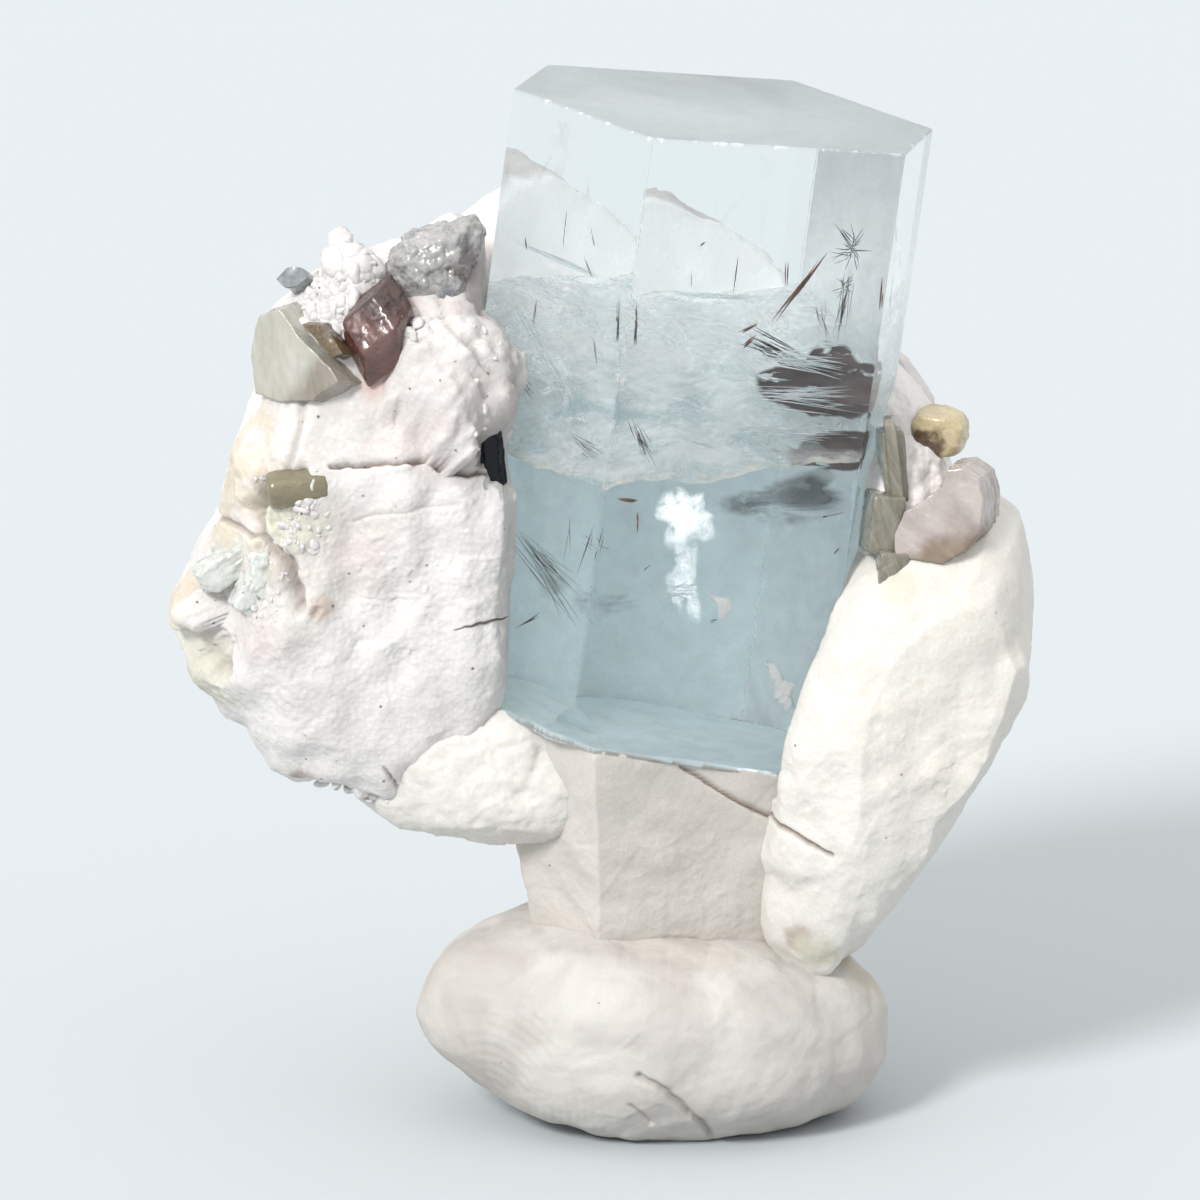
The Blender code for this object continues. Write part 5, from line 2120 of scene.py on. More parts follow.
def strewn(crusts: tuple[Crust, ...], surface: Array) -> Made:
    """All the grains as chipped balls: a unit distance cut short by nine random planes each.

    Args:
        crusts: Where the grains lie.
        surface: Points of the piece that carries them.

    Returns:
        The mesh of all the grains clear of the prism.
    """
    found = [crust.grains(surface[surface[:, 1] < 0]) for crust in crusts]
    middles = np.concatenate([middle for middle, _ in found])
    sizes = np.concatenate([size for _, size in found])
    clear = PRISM.planes().grown(GRAIN_ROOM).depth(middles) < -sizes
    middles, sizes = middles[clear], sizes[clear]
    rng = np.random.default_rng(61)
    directions, quads = cube_ball(5)
    normals = unit(rng.normal(size=(len(sizes), 9, 3)))
    heights = rng.uniform(0.42, 0.92, (len(sizes), 9, 1))
    towards = np.maximum(normals @ directions.T, TINY)
    distance = np.minimum((heights / towards).min(axis=1), 1.0)
    stretch = rng.uniform(0.7, 1.5, (len(sizes), 1, 3))
    points = middles[:, None] + directions * (distance * sizes[:, None])[..., None] * stretch
    points = points.reshape(-1, 3)
    points += 0.07 * Grain(62).shifts(points, 0.7)
    shift = np.arange(len(sizes))[:, None, None] * len(directions)
    return Made(points, (quads[None] + shift).reshape(-1, 4), np.full((len(points), 3), 0.97))


CRUSTS = (
    Crust((-15.0, 19.9), (1.2, 1.0), 30, (0.7, 1.25), 401, 0.75),
    Crust((-13.8, 19.2), (0.9, 0.7), 14, (0.35, 0.8), 402, 0.65),
    Crust((-15.9, 17.2), (1.6, 1.6), 90, (0.2, 0.75), 403, 0.6),
    Crust((-14.6, 15.9), (0.9, 1.4), 26, (0.2, 0.6), 404, 0.6),
    Crust((-16.4, 18.7), (1.4, 0.6), 24, (0.25, 0.7), 405, 0.6),
    Crust((-17.3, 4.3), (1.5, 1.6), 90, (0.15, 0.5), 406, 0.85),
    Crust((-18.0, 7.0), (2.6, 0.7), 26, (0.15, 0.4), 407, 0.75),
    Crust((-6.6, 14.6), (0.7, 4.0), 16, (0.2, 0.5), 408, 0.7),
    Crust((-22.6, 1.9), (1.6, 1.4), 30, (0.15, 0.5), 410, 0.7),
    Crust((-13.0, -12.0), (4.6, 0.9), 26, (0.2, 0.5), 411, 0.8),
    Crust((-6.4, 9.0), (0.6, 1.4), 18, (0.15, 0.4), 412, 0.6),
    Crust((-19.6, 0.6), (1.2, 2.8), 30, (0.15, 0.4), 413, 0.75),
    Crust((-11.0, 16.0), (0.9, 0.9), 16, (0.5, 1.1), 414, 0.4),
)


@dataclass
class Albite:
    """The white rock: a left mass with its knobs, the rock behind the prism and a shoulder."""

    gap: float = -0.05  # below zero: rock and crystal overlap, with no air between them
    gap_step: float = 0.012  # from one piece to the next, so that no two faces coincide

    def build(self) -> None:
        """Makes the five pieces of the rock, each with its own gap, and the crust."""
        rooms = [PRISM.planes().grown(self.gap - self.gap_step * number) for number in range(5)]
        material = WHITE_ROCK.material()
        shapes = (self.left_mass, self.back_wall, self.back_fill, self.foot_fill, self.shoulder)
        for shape, room in zip(shapes, rooms):
            made = shape(room).build()
            add_piece(f"albite_{shape.__name__}", made, material, Node.ALBITE)
            if shape == self.left_mass:
                add_piece("albite_crust", strewn(CRUSTS, made.points), material, Node.ALBITE)
                self.lay_needle(made.points)

    def lay_needle(self, surface: Array) -> None:
        """The black needle that lies on the mass and runs on into the crystal.

        Args:
            surface: Points of the mass.
        """
        shares = np.linspace(0, 1, 12)[:, None]
        spots = np.array((-8.6, -1.75)) * (1 - shares) + np.array((-5.2, -1.0)) * shares
        path = front_spots(surface, spots) + facing(0, VIEW_ELEVATION) * 0.02
        radii = 0.07 * (0.3 + np.sin(shares[:, 0] * math.pi))
        points, faces = tubes(path[None], radii[None])
        material = NeedleFinish("rock_needle", (0.16, 0.12, 0.12), (0.05, 0.04, 0.045)).material()
        add_piece("rock_needle", Made(points, faces), material, Node.ALBITE)

    def left_mass(self, room: Planes) -> RockShape:
        """The broad mass with its knobs, hollows, cracks and stains.

        Args:
            room: The prism's room in the rock.

        Returns:
            The shape.
        """
        return RockShape(
            lump=LEFT_LUMP,
            cells=124,
            lean=0.2,
            knobs=(
                Egg((-16.8, -2.2, 51.2), (2.0, 2.6, 2.1)),
                Egg((-11.6, -4.4, 46.0), (4.6, 4.6, 5.0)),
                Egg((-26.0, -1.6, 31.6), (2.1, 2.9, 2.1)),
                Egg((-22.2, -3.0, 40.2), (2.0, 3.4, 2.9)),
            ),
            pits=(
                Egg((-8.2, -7.4, 41.8), (1.8, 2.6, 1.9)),
                Egg((-21.6, -8.7, 38.7), (1.9, 1.9, 1.9)),
                Egg((-23.1, -7.6, 36.9), (1.5, 1.5, 1.5)),
                Egg((-25.6, -5.4, 29.6), (1.9, 1.9, 1.9)),
                Egg((-18.8, -9.3, 33.4), (1.3, 1.3, 1.3)),
            ),
            pockets=(room,),
            grooves=(
                Groove(((-18.2, 41.6), (-15.4, 42.0), (-12.8, 41.8), (-8.3, 41.0)), 0.16, 0.5),
                Groove(((-17.0, 38.6), (-13.0, 39.2), (-10.6, 39.5)), 0.14, 0.12, dirt_and_shade=0.3),
                Groove(
                    (
                        (-20.0, 41.3), (-22.2, 39.8), (-22.8, 38.6), (-22.5, 37.4), (-20.9, 36.2),
                        (-20.1, 33.1),
                    ),
                    0.42, 1.0, dirt_and_shade=0.55,
                ),
                Groove(((-26.5, 36.9), (-25.1, 37.5), (-22.3, 37.2)), 0.2, 0.4, dirt_and_shade=0.6),
                Groove(((-19.8, 45.7), (-20.0, 44.4), (-21.0, 41.4)), 0.35, 0.6, dirt_and_shade=0.35),
                Groove(((-12.0, 51.5), (-10.6, 49.7), (-8.6, 47.5)), 0.25, 0.35, dirt_and_shade=0.35),
                Groove(((-15.2, 22.8), (-14.3, 21.3), (-13.6, 20.6)), 0.13, 0.3, dirt_and_shade=0.8),
                Groove(((-19.9, 21.2), (-17.0, 20.6), (-14.0, 19.8)), 0.2, 0.4, dirt_and_shade=0.8),
            ),
            tint_patches=(
                TintPatch((-22.1, -6.0, 31.4), 2.6, PINK),
                TintPatch((-17.0, -8.0, 36.4), 3.2, PINK, 0.9),
                TintPatch((-14.0, -6.0, 48.0), 8.0, (0.90, 0.88, 0.87), 0.9),
                TintPatch((-22.0, -4.0, 38.0), 9.0, (0.93, 0.91, 0.88), 0.9),
                TintPatch((-9.6, -7.0, 45.6), 3.4, GREY, 0.7),
                TintPatch((-10.2, -6.5, 41.8), 2.4, GREY, 0.9),
                TintPatch((-8.6, -6.5, 41.6), 1.3, BROWN, 0.9),
                TintPatch((-23.4, -3.0, 41.0), 5.2, (0.98, 0.90, 0.76)),
                TintPatch((-24.2, -2.0, 38.0), 3.4, BUFF, 0.9),
                TintPatch((-9.0, -3.5, 51.5), 3.0, (0.74, 0.68, 0.68), 0.9),
                TintPatch((-21.2, -7.6, 36.2), 1.8, (0.80, 0.76, 0.70), 0.9),
                TintPatch((-18.6, -8.0, 33.2), 1.0, (0.72, 0.60, 0.52), 0.7),
                TintPatch((-13.2, -8.2, 44.0), 3.4, (0.95, 0.89, 0.885), 0.8),
                TintPatch((-8.4, -6.4, 24.4), 1.8, (0.80, 0.74, 0.74), 0.7),
                TintPatch((-27.4, -1.5, 32.2), 2.4, BUFF),
                TintPatch((-25.6, -2.5, 28.6), 3.4, GREEN),
                TintPatch((-20.9, -7.0, 38.6), 2.6, GREEN),
                TintPatch((-20.3, -5.0, 21.6), 1.2, BROWN, 0.9),
                TintPatch((-10.3, -4.5, 53.0), 1.8, (0.52, 0.45, 0.45)),
                TintPatch((-15.4, -6.5, 46.6), 1.4, (0.8, 0.62, 0.58), 0.8),
                TintPatch((-14.2, -5.5, 50.6), 1.6, (0.85, 0.72, 0.70), 0.8),
            ),
        )

    def back_wall(self, room: Planes) -> RockShape:
        """The wall behind the prism, seen from a point between the two.

        Args:
            room: The prism's room in the rock.

        Returns:
            The shape.
        """
        return RockShape(
            lump=WALL_LUMP,
            cells=112,
            lean=0.3,
            pockets=(room,),
            eye=(-1.0, 12.4, 38.0),
            rough=(1.3, 0.2),
            halo=0.8,
        )

    def back_fill(self, room: Planes) -> RockShape:
        """The rock between the left mass and the wall."""
        return RockShape(lump=FILL_LUMP, cells=48, pockets=(room,), eye=(-11.0, 8.0, 38.0), halo=0.8)

    def foot_fill(self, room: Planes) -> RockShape:
        """The rock behind the prism's foot."""
        return RockShape(lump=FOOT_FILL_LUMP, cells=40, pockets=(room,), eye=(-2.0, 11.2, 26.0))

    def shoulder(self, room: Planes) -> RockShape:
        """The white shoulder at the right, with the cheek below it, painted brighter against the
        crystal's shadow.

        Args:
            room: The prism's room in the rock.

        Returns:
            The shape.
        """
        return RockShape(
            lump=SHOULDER_LUMP,
            cells=70,
            lean=0.1,
            knobs=(Egg((15.5, -0.9, 37.0), (3.1, 3.9, 5.8)),),
            pockets=(room,),
            tint_patches=(
                TintPatch((16.6, -2.8, 40.4), 1.6, GREY, 0.5),
                TintPatch((17.2, -2.2, 40.5), 0.45, BLACK, 1.0),
                TintPatch((15.4, -3.2, 36.2), 1.6, BUFF, 0.6),
            ),
            rough=(1.0, 0.16),
            # Painted light: the shoulder is brightened all over to undo the crystal's shadow on it.
            base=(1.22, 1.22, 1.22),
        )


@dataclass
class Feldspar:
    """The cream block: the neck under the prism, the ledge at its left and the right wing."""

    gap: float = -0.13  # below zero, as in the white rock

    def build(self) -> None:
        """Makes the three pieces of the block."""
        room = PRISM.planes().grown(self.gap)
        material = CREAM_ROCK.material()
        for name, shape in (
            ("feldspar_neck", self.neck(room)),
            ("feldspar_ledge", RockShape(lump=LEDGE_LUMP, cells=64, pockets=(room,), rough=(1.2, 0.1))),
            ("feldspar_wing", self.wing(room)),
        ):
            add_piece(name, shape.build(), material, Node.FELDSPAR)

    def neck(self, room: Planes) -> RockShape:
        """The broad flat face below the crystal, painted darker as shade.

        Args:
            room: The prism's room in the rock.

        Returns:
            The shape.
        """
        return RockShape(
            lump=NECK_LUMP,
            cells=110,
            lean=0.15,
            pockets=(room,),
            grooves=(
                Groove(((2.4, 23.4), (4.7, 21.6), (7.1, 20.1), (11.3, 18.2)), 0.15, 0.3, 0.1, 1.0),
                Groove(((-7.3, 24.0), (-7.2, 22.6), (-7.3, 19.5)), 0.2, 0.2, dirt_and_shade=0.25),
            ),
            hackle=(3.8, 0.05),
            rough=(2.0, 0.10),
            sugar=(0.6, 0.02),
            # Painted shade: the neck's face is darkened all over, as it lies in shade under the
            # crystal.
            base=(0.83, 0.81, 0.80),
        )

    def wing(self, room: Planes) -> RockShape:
        """The rounded wing that rises at the right of the crystal.

        Args:
            room: The prism's room in the rock.

        Returns:
            The shape.
        """
        return RockShape(
            lump=WING_LUMP,
            cells=116,
            lean=0.15,
            pockets=(room,),
            grooves=(Groove(((5.9, 20.9), (7.1, 20.1), (11.3, 18.2)), 0.15, 0.25, 0.1, 1.0),),
            tint_patches=(
                TintPatch((16.0, -8.0, 30.0), 9.0, (1.04, 1.03, 1.0), 0.9),
                TintPatch((9.2, -7.0, 12.3), 1.5, BROWN, 0.55),
                TintPatch((10.6, -7.0, 11.4), 1.7, GREEN, 0.9),
                TintPatch((15.0, -7.0, 34.4), 1.6, BUFF, 0.6),
            ),
            hackle=(4.0, 0.05),
            rough=(2.2, 0.14),
            sugar=(0.6, 0.03),
        )


@dataclass
class Putty:
    """The kneaded lump that holds the rock upright."""

    ridge_step: float = 0.5
    ridge_height: float = 0.02

    def build(self) -> None:
        """Makes the lump with its folds and finger marks."""
        shape = RockShape(
            lump=PUTTY_LUMP,
            cells=110,
            lean=0.15,
            grooves=(
                Groove(
                    ((0.0, 5.5), (1.5, 4.5), (2.4, 3.3), (3.6, 2.0), (4.4, 0.6)),
                    0.22, 0.5, 0.15, 0.5,
                ),
                Groove(((-0.6, 3.4), (0.0, 2.8), (0.6, 2.0)), 0.14, 0.25, 0.1, 0.5),
            ),
            tint_patches=(
                # darker over the left of the putty
                TintPatch((-11.5, -6.0, 9.0), 7.0, (0.88, 0.865, 0.85), 0.9),
                # Painted shadow: the putty's top under the neck is darkened as shade.
                TintPatch((2.0, -6.0, 12.0), 5.0, (0.90, 0.88, 0.86), 0.8),
                TintPatch((-9.9, -7.0, 10.2), 0.5, (0.25, 0.22, 0.22), 0.8),
                TintPatch((13.4, -2.0, 8.6), 3.0, (0.97, 0.93, 0.86)),
            ),
            hackle=(4.0, 0.05),
            rough=(2.4, 0.12),
            sugar=(0.4, 0.012),
            floor=0.0,
        )
        made = shape.build()
        made.points = made.points + self.finger_marks(made.points)[:, None] * (0, -1, 0)
        made.points[:, 2] = np.maximum(made.points[:, 2], 0.0)
        add_piece("putty_lump", made, PuttyFinish().material(), Node.PUTTY)

    def finger_marks(self, points: Array) -> Array:
        """Fine ridges round a centre on the front left, gone away from it.

        Args:
            points: Places on the putty, one a row.

        Returns:
            The height of the ridges at each place.
        """
        gap = np.hypot(points[:, 0] + 9.0, (points[:, 2] - 2.0) * 0.8)
        near = smooth_step(points[:, 1], -4.0, -8.0) * smooth_step(gap, 9.0, 4.0)
        return self.ridge_height * np.sin(gap * 2 * math.pi / self.ridge_step) * near


# ---------------------------------------------------------------------------------------
# The small crystals


def faceted(
    planes: Planes,
    centre: Triple,
    half: Triple,
    tilt: Triple,
    cells: int,
    seed: int,
    relief: Pair = (0.8, 0.03),
    sharp: float = 30,
) -> Made:
    """A small crystal with worn edges.

    The distance along each direction is a power mean of the ways out through the planes:
    (sum of (direction @ normal / height) ** sharp) ** (-1 / sharp).

    Args:
        planes: The crystal's faces.
        centre: Its middle.
        half: Half sizes, along which the grid is spread.
        tilt: Degrees about X, Y and Z.
        cells: Faces along each side of the cube.
        seed: Number of its relief.
        relief: Size and height of the growth marks.
        sharp: Power of the mean; a low one rounds the edges.

    Returns:
        The closed mesh.
    """
    directions, quads = cube_ball(cells)
    cube = directions / np.abs(directions).max(axis=1, keepdims=True)
    directions = unit(turned(cube * np.array(half), (0, 0, 0), tilt))
    middle = np.array(centre)
    ways = np.maximum(directions @ planes.normals.T, 0) / (planes.heights - planes.normals @ middle)
    distance = (ways**sharp).sum(axis=1) ** (-1 / sharp)
    points = middle + directions * distance[:, None]
    grain = Grain(seed)
    steps, _ = grain.facets(points, relief[0])
    points += directions * (relief[1] * (steps * 0.6 + grain.layered(points, relief[0], 3)))[:, None]
    return Made(points, quads, np.ones((len(points), 3)))


def layered_plate(outline: tuple[Pair, ...], thickness: float, layers: int, seed: int) -> Surface:
    """A book of thin sheets: its outline, shrunk by a profile that runs over front, edge and back.

    Args:
        outline: Corners in the plate's XZ plane.
        thickness: From face to face.
        layers: Sheets that show at the edge.
        seed: Number of its raggedness.

    Returns:
        Points in the plate's own frame, and triangles.
    """
    corners = np.array(outline)
    rim = walked(corners, 180)
    middle = corners.mean(axis=0)
    rng = np.random.default_rng(seed)
    face = np.linspace(0.0, 1.0, 24)[1:-1]
    edge = np.linspace(-0.5, 0.5, layers * 2 + 2)
    ragged = rng.uniform(-0.035, 0.0, layers + 1).repeat(2)
    size = PLATE_TAPER + (1 - PLATE_TAPER) * (edge + 0.5) + ragged
    shares = np.concatenate((face * size[0], size, face[::-1] * size[-1]))
    heights = np.concatenate((np.full(len(face), -0.5), edge, np.full(len(face), 0.5))) * thickness
    flat = middle + (rim - middle)[None] * shares[:, None, None]
    thick = np.broadcast_to(heights[:, None], flat.shape[:2])
    rings = np.stack((flat[..., 0], thick, flat[..., 1]), -1)
    noise = Grain(seed).shifts(rings.reshape(-1, 3), 0.8).reshape(rings.shape)
    rings = rings + 0.06 * noise * (1, 0.6, 1)
    tips = [np.array((middle[0], side * thickness / 2, middle[1])) for side in (-1, 1)]
    return closed_rings(rings, *tips)


@dataclass
class SmallCrystals:
    """Garnet, micas, quartz and the rest, each in its pocket."""

    def build(self) -> None:
        """Makes every small crystal."""
        self.make_garnet()
        self.make_plates()
        self.make_quartz()
        self.make_prisms()
        self.make_blades()
        self.make_yellow()

    def make_garnet(self) -> None:
        """A dodecahedron of twelve rhombs, stretched upwards, with stepped growth."""
        half, centre, tilt = (2.5, 2.6, 3.5), (-15.3, -6.0, 49.6), (-12, 16, 20)
        signs = [(a, b) for a in (-1.0, 1.0) for b in (-1.0, 1.0)]
        rows = np.array([np.insert(pair, skipped, 0.0) for skipped in range(3) for pair in signs])
        rows = rows / np.array(half)
        heights = 1 / np.linalg.norm(rows, axis=1)
        normals = unit(rows) @ tilted(tilt).T
        planes = Planes(normals, heights + normals @ np.array(centre))
        made = faceted(planes, centre, half, tilt, 50, 201, (0.9, 0.05))
        gap = np.linalg.norm(made.points - (-15.4, -8.4, 49.3), axis=1)
        patch = smooth_step(1.4 - gap, 0.0, 0.7)
        dark = smooth_step(made.points[:, 2], 50.0, 51.5)
        made.tint = 1 + (np.array((2.0, 3.0, 3.2)) - 1) * (patch * 0.4)[:, None]
        made.tint = made.tint * (1 - 0.45 * dark)[:, None]
        finish = CrystalFinish(
            "garnet", (0.135, 0.048, 0.038), (0.04, 0.016, 0.013), (0.16, 0.42),
            times=0.9, coat=0.1, ior=1.75, tones=(0.3, 0.7),
        )
        add_piece("garnet_crystal", made, finish.material(), Node.GARNET)

    def make_plates(self) -> None:
        """The mica plates: ragged outlines with their sheets showing at the edge."""
        pale = CrystalFinish(
            "pale_mica", (0.47, 0.46, 0.41), (0.31, 0.295, 0.245), (0.2, 0.45),
            grain=(0.7, 1.0, 4.0), turn=(0, -14, 0), times=0.6, coat=0.4, tones=(0.3, 0.7),
        )
        book = CrystalFinish(
            "grey_mica", (0.50, 0.44, 0.42), (0.26, 0.215, 0.19), (0.12, 0.35),
            grain=(1.4, 1.0, 0.8), turn=(0, 40, 0), times=0.35, coat=0.5, tones=(0.3, 0.68),
        )
        dark = CrystalFinish(
            "dark_mica", (0.13, 0.09, 0.075), (0.035, 0.026, 0.024), (0.15, 0.4), coat=0.4
        )
        brown = CrystalFinish(
            "brown_wedge", (0.16, 0.11, 0.055), (0.05, 0.032, 0.018), (0.2, 0.45), tones=(0.3, 0.7)
        )
        steel = CrystalFinish(
            "grey_flake", (0.30, 0.32, 0.33), (0.10, 0.11, 0.12), (0.15, 0.4), coat=0.5, times=0.6
        )
        for name, plate, node, finish in (
            ("muscovite_left", LEFT_PLATE, Node.LEFT_PLATE, pale),
            ("muscovite_stack", BOOK_PLATE, Node.BOOK, book),
            ("dark_mica_plate", DARK_PLATE, Node.DARK_MICA, dark),
            ("brown_wedge_plate", WEDGE_PLATE, Node.WEDGE, brown),
            ("grey_flake_plate", FLAKE_PLATE, Node.FLAKE, steel),
        ):
            add_piece(name, plate.build(), finish.material(), node)

    def make_quartz(self) -> None:
        """The granular grey quartz at the top left."""
        lump = Lump(
            centre=(-12.4, -2.7, 52.8),
            rim=(
                (-9.7, 53.6), (-9.3, 54.9), (-9.9, 55.8), (-11.2, 55.2), (-12.4, 55.0), (-13.9, 54.5),
                (-14.9, 53.4), (-15.0, 51.8), (-13.5, 50.8), (-12.4, 50.0), (-11.2, 50.0),
                (-10.4, 51.2), (-10.3, 52.4),
            ),
            front=2.6,
            back=2.4,
            chips=12,
            chip_depth=0.35,
            relief=0.1,
            seed=50,
        )
        tint_patches = (
            TintPatch((-10.4, -4.0, 53.2), 1.4, (0.62, 0.54, 0.55)),
            TintPatch((-11.2, -5.0, 51.2), 0.8, (0.55, 0.58, 0.66)),
        )
        shape = RockShape(
            lump, cells=44, tint_patches=tint_patches, hackle=(0.9, 0.16), rough=(0.7, 0.1), sugar=(0.3, 0.05)
        )
        finish = CrystalFinish(
            "grey_quartz", (0.54, 0.53, 0.515), (0.27, 0.262, 0.255), (0.1, 0.4),
            relief=0.05, coat=0.5, clear=0.2,
        )
        add_piece("grey_quartz_grains", shape.build(), finish.material(), Node.GREY_QUARTZ)

    def make_prisms(self) -> None:
        """The olive crystal and the black tourmaline."""
        olive = CrystalFinish(
            "olive_crystal", (0.34, 0.29, 0.18), (0.17, 0.14, 0.075), (0.1, 0.3),
            grain=(3.0, 1.0, 1.0), times=0.5, clear=0.3, coat=0.5, tones=(0.3, 0.7),
        )
        black = CrystalFinish(
            "black_tourmaline", (0.008, 0.010, 0.016), (0.003, 0.003, 0.005), (0.2, 0.4),
            grain=(1.0, 1.0, 5.0), coat=0.0, ior=1.35,
        )
        for name, width, length, centre, tilt, node, finish, sharp in (
            ("olive_prism", 2.6, 3.6, (-20.2, -6.7, 40.3), (0, 84, 8), Node.OLIVE, olive, 7),
            ("tourmaline_prism", 1.6, 3.8, (-8.8, -5.1, 41.9), (6, -6, 0), Node.TOURMALINE, black, 20),
        ):
            planes = six_sided(width, length, centre, tilt)
            half = (width / 2, width / 2, length / 2)
            made = faceted(planes, centre, half, tilt, 30, 210, sharp=sharp)
            add_piece(name, made, finish.material(), node)

    def make_blades(self) -> None:
        """The olive mica blades by the prism and the glassy cluster at the left."""
        olive = CrystalFinish(
            "olive_mica", (0.34, 0.315, 0.25), (0.12, 0.105, 0.075), (0.12, 0.35),
            grain=(0.5, 1.0, 3.0), turn=(0, -20, 0), times=0.8, clear=0.15, coat=0.6, tones=(0.3, 0.7),
        ).material()
        glass = CrystalFinish(
            "glassy_albite", (0.80, 0.815, 0.775), (0.62, 0.64, 0.59), (0.08, 0.3),
            grain=(1.0, 1.0, 3.0), clear=0.25, coat=0.5,
        ).material()
        for prefix, blades, node, material, marks, sharp in (
            ("olive_blade", OLIVE_BLADES, Node.BLADES, olive, (0.9, 0.05), 14),
            ("glassy_blade", GLASSY_BLADES, Node.GLASSY, glass, (0.7, 0.16), 7),
        ):
            for number, (size, centre, tilt) in enumerate(blades):
                half = tuple(np.array(size) / 2)
                box = block(size, centre, tilt)
                made = faceted(box, centre, half, tilt, 26, 220 + number, marks, sharp)
                add_piece(f"{prefix}_{number + 1}", made, material, node)

    def make_yellow(self) -> None:
        """The worn honey-coloured crystal, brown along its lower left."""
        size, centre, tilt = (3.2, 2.7, 2.5), (17.8, -1.0, 42.4), (6, 8, -16)
        box = block(size, centre, tilt)
        signs = (-1.0, 1.0)
        corners = [(x, y, z) for x in signs for y in signs for z in signs]
        edges = [(1, 0, 1), (1, 0, -1), (-1, 0, 1), (-1, 0, -1), (1, -1, 0), (-1, -1, 0)]
        bevels = unit(np.array(corners + edges)) @ tilted(tilt).T
        reach = np.array([1.85] * 8 + [1.75] * 4 + [1.85] * 2)
        planes = Planes(
            np.concatenate((box.normals, bevels)),
            np.concatenate((box.heights, reach + bevels @ np.array(centre))),
        )
        made = faceted(planes, centre, tuple(np.array(size) / 2), tilt, 36, 230, (0.7, 0.05), 14)
        gap = np.linalg.norm(made.points - np.array((16.6, -2.4, 41.3)), axis=1)
        gap = gap + 0.3 * Grain(231).layered(made.points, 0.7, 3)
        made.tint = 1 + (np.array((0.16, 0.11, 0.09)) - 1) * smooth_step(gap, 1.9, 1.2)[:, None]
        finish = CrystalFinish(
            "honey_crystal", (0.62, 0.53, 0.335), (0.45, 0.35, 0.19), (0.2, 0.5), clear=0.1, times=0.8
        )
        add_piece("yellow_block", made, finish.material(), Node.YELLOW)


@dataclass(frozen=True)
class Plate:
    """Outline, thickness and place of a mica plate."""

    outline: tuple[Pair, ...]
    thickness: float
    centre: Triple
    tilt: Triple
    layers: int
    seed: int
    shade: Triple = (1.0, 1.0, 1.0)
    towards: Triple = (0.0, 0.0, 0.0)

    def build(self) -> Made:
        """The layered sheets, shaded towards one side along the heading and past its length.

        Returns:
            The closed mesh, in place.
        """
        points, faces = layered_plate(self.outline, self.thickness, self.layers, self.seed)
        heading = np.array(self.towards)
        along = points @ heading + 0.5 * Grain(self.seed).layered(points, 1.6, 4) - heading @ heading
        tint = 1 + (np.array(self.shade) - 1) * smooth_step(along, -0.8, 0.8)[:, None]
        return Made(turned(points, self.centre, self.tilt), faces, tint)


LEFT_PLATE = Plate(
    outline=(
        (-3.3, 1.2), (-2.9, 2.4), (-1.2, 3.0), (0.2, 1.5), (3.2, -0.5), (4.0, -1.4), (2.0, -2.9),
        (-1.0, -3.3), (-2.8, -3.0), (-3.4, -0.5),
    ),
    thickness=2.6, centre=(-19.7, -4.9, 48.0), tilt=(-6, 0, -34), layers=9, seed=301,
    shade=(0.66, 0.60, 0.58), towards=(1.2, 0.0, -0.9),
)
BOOK_PLATE = Plate(
    outline=(
        (-2.9, -2.9), (-2.9, -1.3), (-2.4, 0.2), (-1.0, 1.1), (0.1, 1.9), (0.5, 3.3), (1.5, 3.4),
        (2.6, 2.7), (3.0, 1.2), (2.9, -0.8), (1.9, -2.1), (0.3, -3.2), (-1.4, -3.0),
    ),
    thickness=3.8, centre=(18.0, -4.3, 38.1), tilt=(-8, 0, -14), layers=14, seed=302,
    shade=(0.55, 0.47, 0.36), towards=(0.6, 0.0, -1.3),
)
DARK_PLATE = Plate(
    outline=(
        (-5.0, -3.2), (-4.6, 0.5), (-5.2, 3.4), (-1.6, 4.2), (2.4, 4.0), (5.0, 3.0), (5.3, -0.4),
        (4.2, -3.4), (0.8, -4.2), (-2.6, -3.6),
    ),
    thickness=1.0, centre=(11.5, 6.2, 43.6), tilt=(-3, 0, -45), layers=5, seed=303,
)
WEDGE_PLATE = Plate(
    outline=((-1.6, 1.0), (-0.3, 1.1), (0.4, 0.7), (1.6, -0.7), (0.9, -1.0), (0.0, -0.3)),
    thickness=1.3, centre=(-18.4, -6.5, 49.0), tilt=(-10, 0, -24), layers=3, seed=304,
)
FLAKE_PLATE = Plate(
    outline=((-1.2, -0.3), (-0.6, 0.6), (0.5, 0.7), (1.2, 0.1), (0.7, -0.6), (-0.5, -0.7)),
    thickness=1.6, centre=(-20.2, -2.2, 51.8), tilt=(-25, 0, -30), layers=4, seed=305,
)
OLIVE_BLADES = (
    ((0.7, 2.4, 9.2), (15.2, -4.0, 39.3), (0, -7, 0)),
    ((1.4, 2.0, 4.4), (14.9, -3.6, 41.0), (0, -5, 10)),
    ((2.0, 2.2, 3.6), (14.3, -4.6, 37.7), (0, 7, 14)),
    ((1.8, 2.0, 2.4), (14.8, -5.3, 35.0), (0, 5, 10)),
)
GLASSY_BLADES = (
    ((4.4, 2.4, 1.8), (-24.3, -3.8, 35.0), (0, -28, 8)),
    ((3.6, 2.4, 1.5), (-22.9, -5.2, 34.2), (0, -60, 12)),
    ((2.8, 2.4, 1.4), (-22.3, -5.8, 34.9), (0, 78, 4)),
)


# ---------------------------------------------------------------------------------------
# The studio


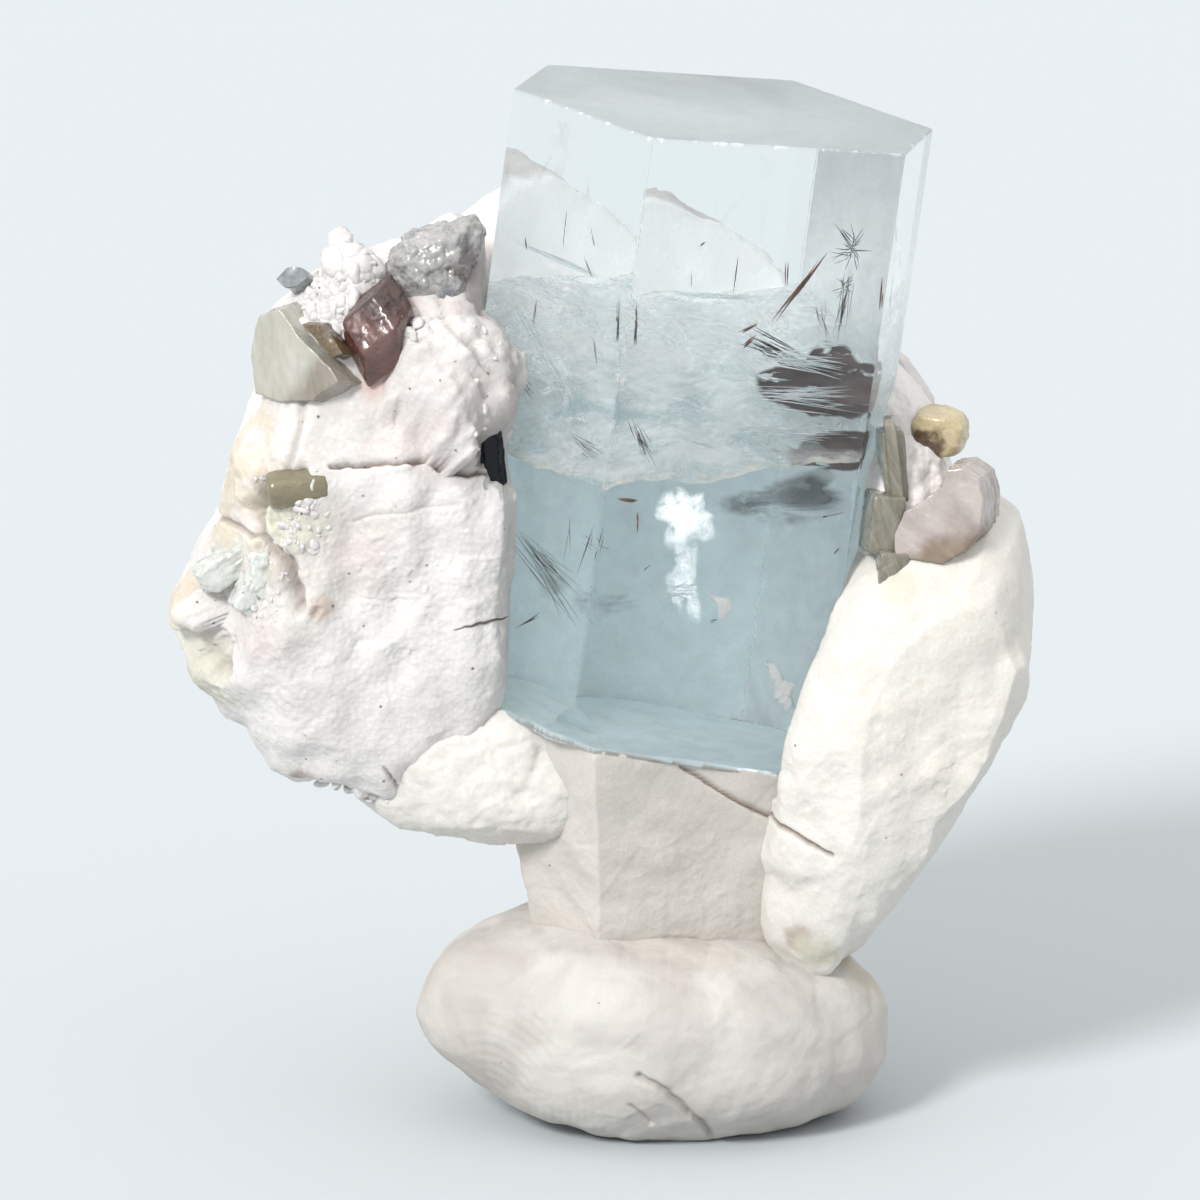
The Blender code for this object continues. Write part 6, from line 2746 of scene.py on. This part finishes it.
@dataclass
class Studio:
    """A pale floor, soft light from the upper left and the camera."""

    target: Triple = VIEW_TARGET
    distance: float = VIEW_DISTANCE
    elevation: float = VIEW_ELEVATION
    lens: float = 215.0
    clip_start: float = 0.01  # metres
    floor_reach: float = 4000.0
    floor_corners: int = 64
    floor_colour: Triple = (0.509, 0.540, 0.555)
    key_heading: Pair = (-34, 36)
    key_distance: float = 600.0
    key_energy: float = 2.65
    key_spread: float = 14.0  # degrees
    room_low: Triple = (0.52, 0.54, 0.55)
    room_high: Triple = (1.0, 1.0, 1.0)
    room_high_from: float = 0.8
    room_strength: float = 1.23

    def build(self) -> None:
        """Makes the stage, the light and the camera."""
        self.make_camera()
        self.make_floor()
        self.make_world()
        self.make_key()
        bpy.context.scene.view_settings.view_transform = "Standard"

    def aim(self, name: str, data: bpy.types.ID, heading: Pair, away: float) -> bpy.types.Object:
        """Places a camera or a light so that it looks at the specimen.

        Args:
            name: Its name.
            data: The camera or light.
            heading: Azimuth and elevation from which it looks.
            away: Distance from the specimen.

        Returns:
            The object.
        """
        obj = linked(name, data)
        back = Vector(facing(*heading))
        obj.location = (Vector(self.target) + back * away) * MM
        obj.rotation_euler = (-back).to_track_quat("-Z", "Y").to_euler()
        return obj

    def make_camera(self) -> None:
        """A long lens that looks a little down on the specimen."""
        data = bpy.data.cameras.new("camera")
        data.lens = self.lens
        data.clip_start = self.clip_start
        bpy.context.scene.camera = self.aim("camera", data, (0, self.elevation), self.distance)

    def make_floor(self) -> None:
        """A round pale floor."""
        count = self.floor_corners
        turn = np.arange(count)
        angles = np.linspace(0, 2 * math.pi, count + 1)[:-1]
        rim = np.stack((np.cos(angles), np.sin(angles), np.zeros(count)), 1) * self.floor_reach
        points = np.concatenate((rim, [[0, 0, 0]]))
        faces = np.stack((turn, (turn + 1) % count, np.full(count, count)), 1)
        floor = linked("floor", fill_mesh("floor", points, faces))
        g = Graph("pale_floor")
        g.set(Base_Color=self.floor_colour, Roughness=0.9, Specular_IOR_Level=0.1)
        floor.data.materials.append(g.material)

    def make_world(self) -> None:
        """Soft light from all round, brighter overhead."""
        world = bpy.data.worlds.new("soft_room")
        bpy.context.scene.world = world
        world.use_nodes = True
        tree = world.node_tree
        background = tree.nodes["Background"]
        place = tree.nodes.new("ShaderNodeTexCoord")
        parts = tree.nodes.new("ShaderNodeSeparateXYZ")
        tree.links.new(place.outputs["Generated"], parts.inputs[0])
        ramp = tree.nodes.new("ShaderNodeValToRGB")
        ends = ((0.0, self.room_low), (self.room_high_from, self.room_high))
        for element, (position, colour) in zip(ramp.color_ramp.elements, ends):
            element.position = position
            element.color = (*colour, 1.0)
        tree.links.new(parts.outputs["Z"], ramp.inputs["Fac"])
        tree.links.new(ramp.outputs["Color"], background.inputs["Color"])
        background.inputs["Strength"].default_value = self.room_strength

    def make_key(self) -> None:
        """A broad sun-like light from the upper left, in front."""
        light = bpy.data.lights.new("key", "SUN")
        light.energy = self.key_energy
        light.angle = math.radians(self.key_spread)
        self.aim("key", light, self.key_heading, self.key_distance)


def main() -> None:
    """Builds the specimen and its studio."""
    logging.basicConfig(level=logging.INFO, format="%(message)s")
    Studio().build()
    for part in (Albite(), Feldspar(), Putty(), Aquamarine(), SmallCrystals()):
        log.info("building %s", type(part).__name__)
        part.build()


if __name__ == "__main__":
    main()
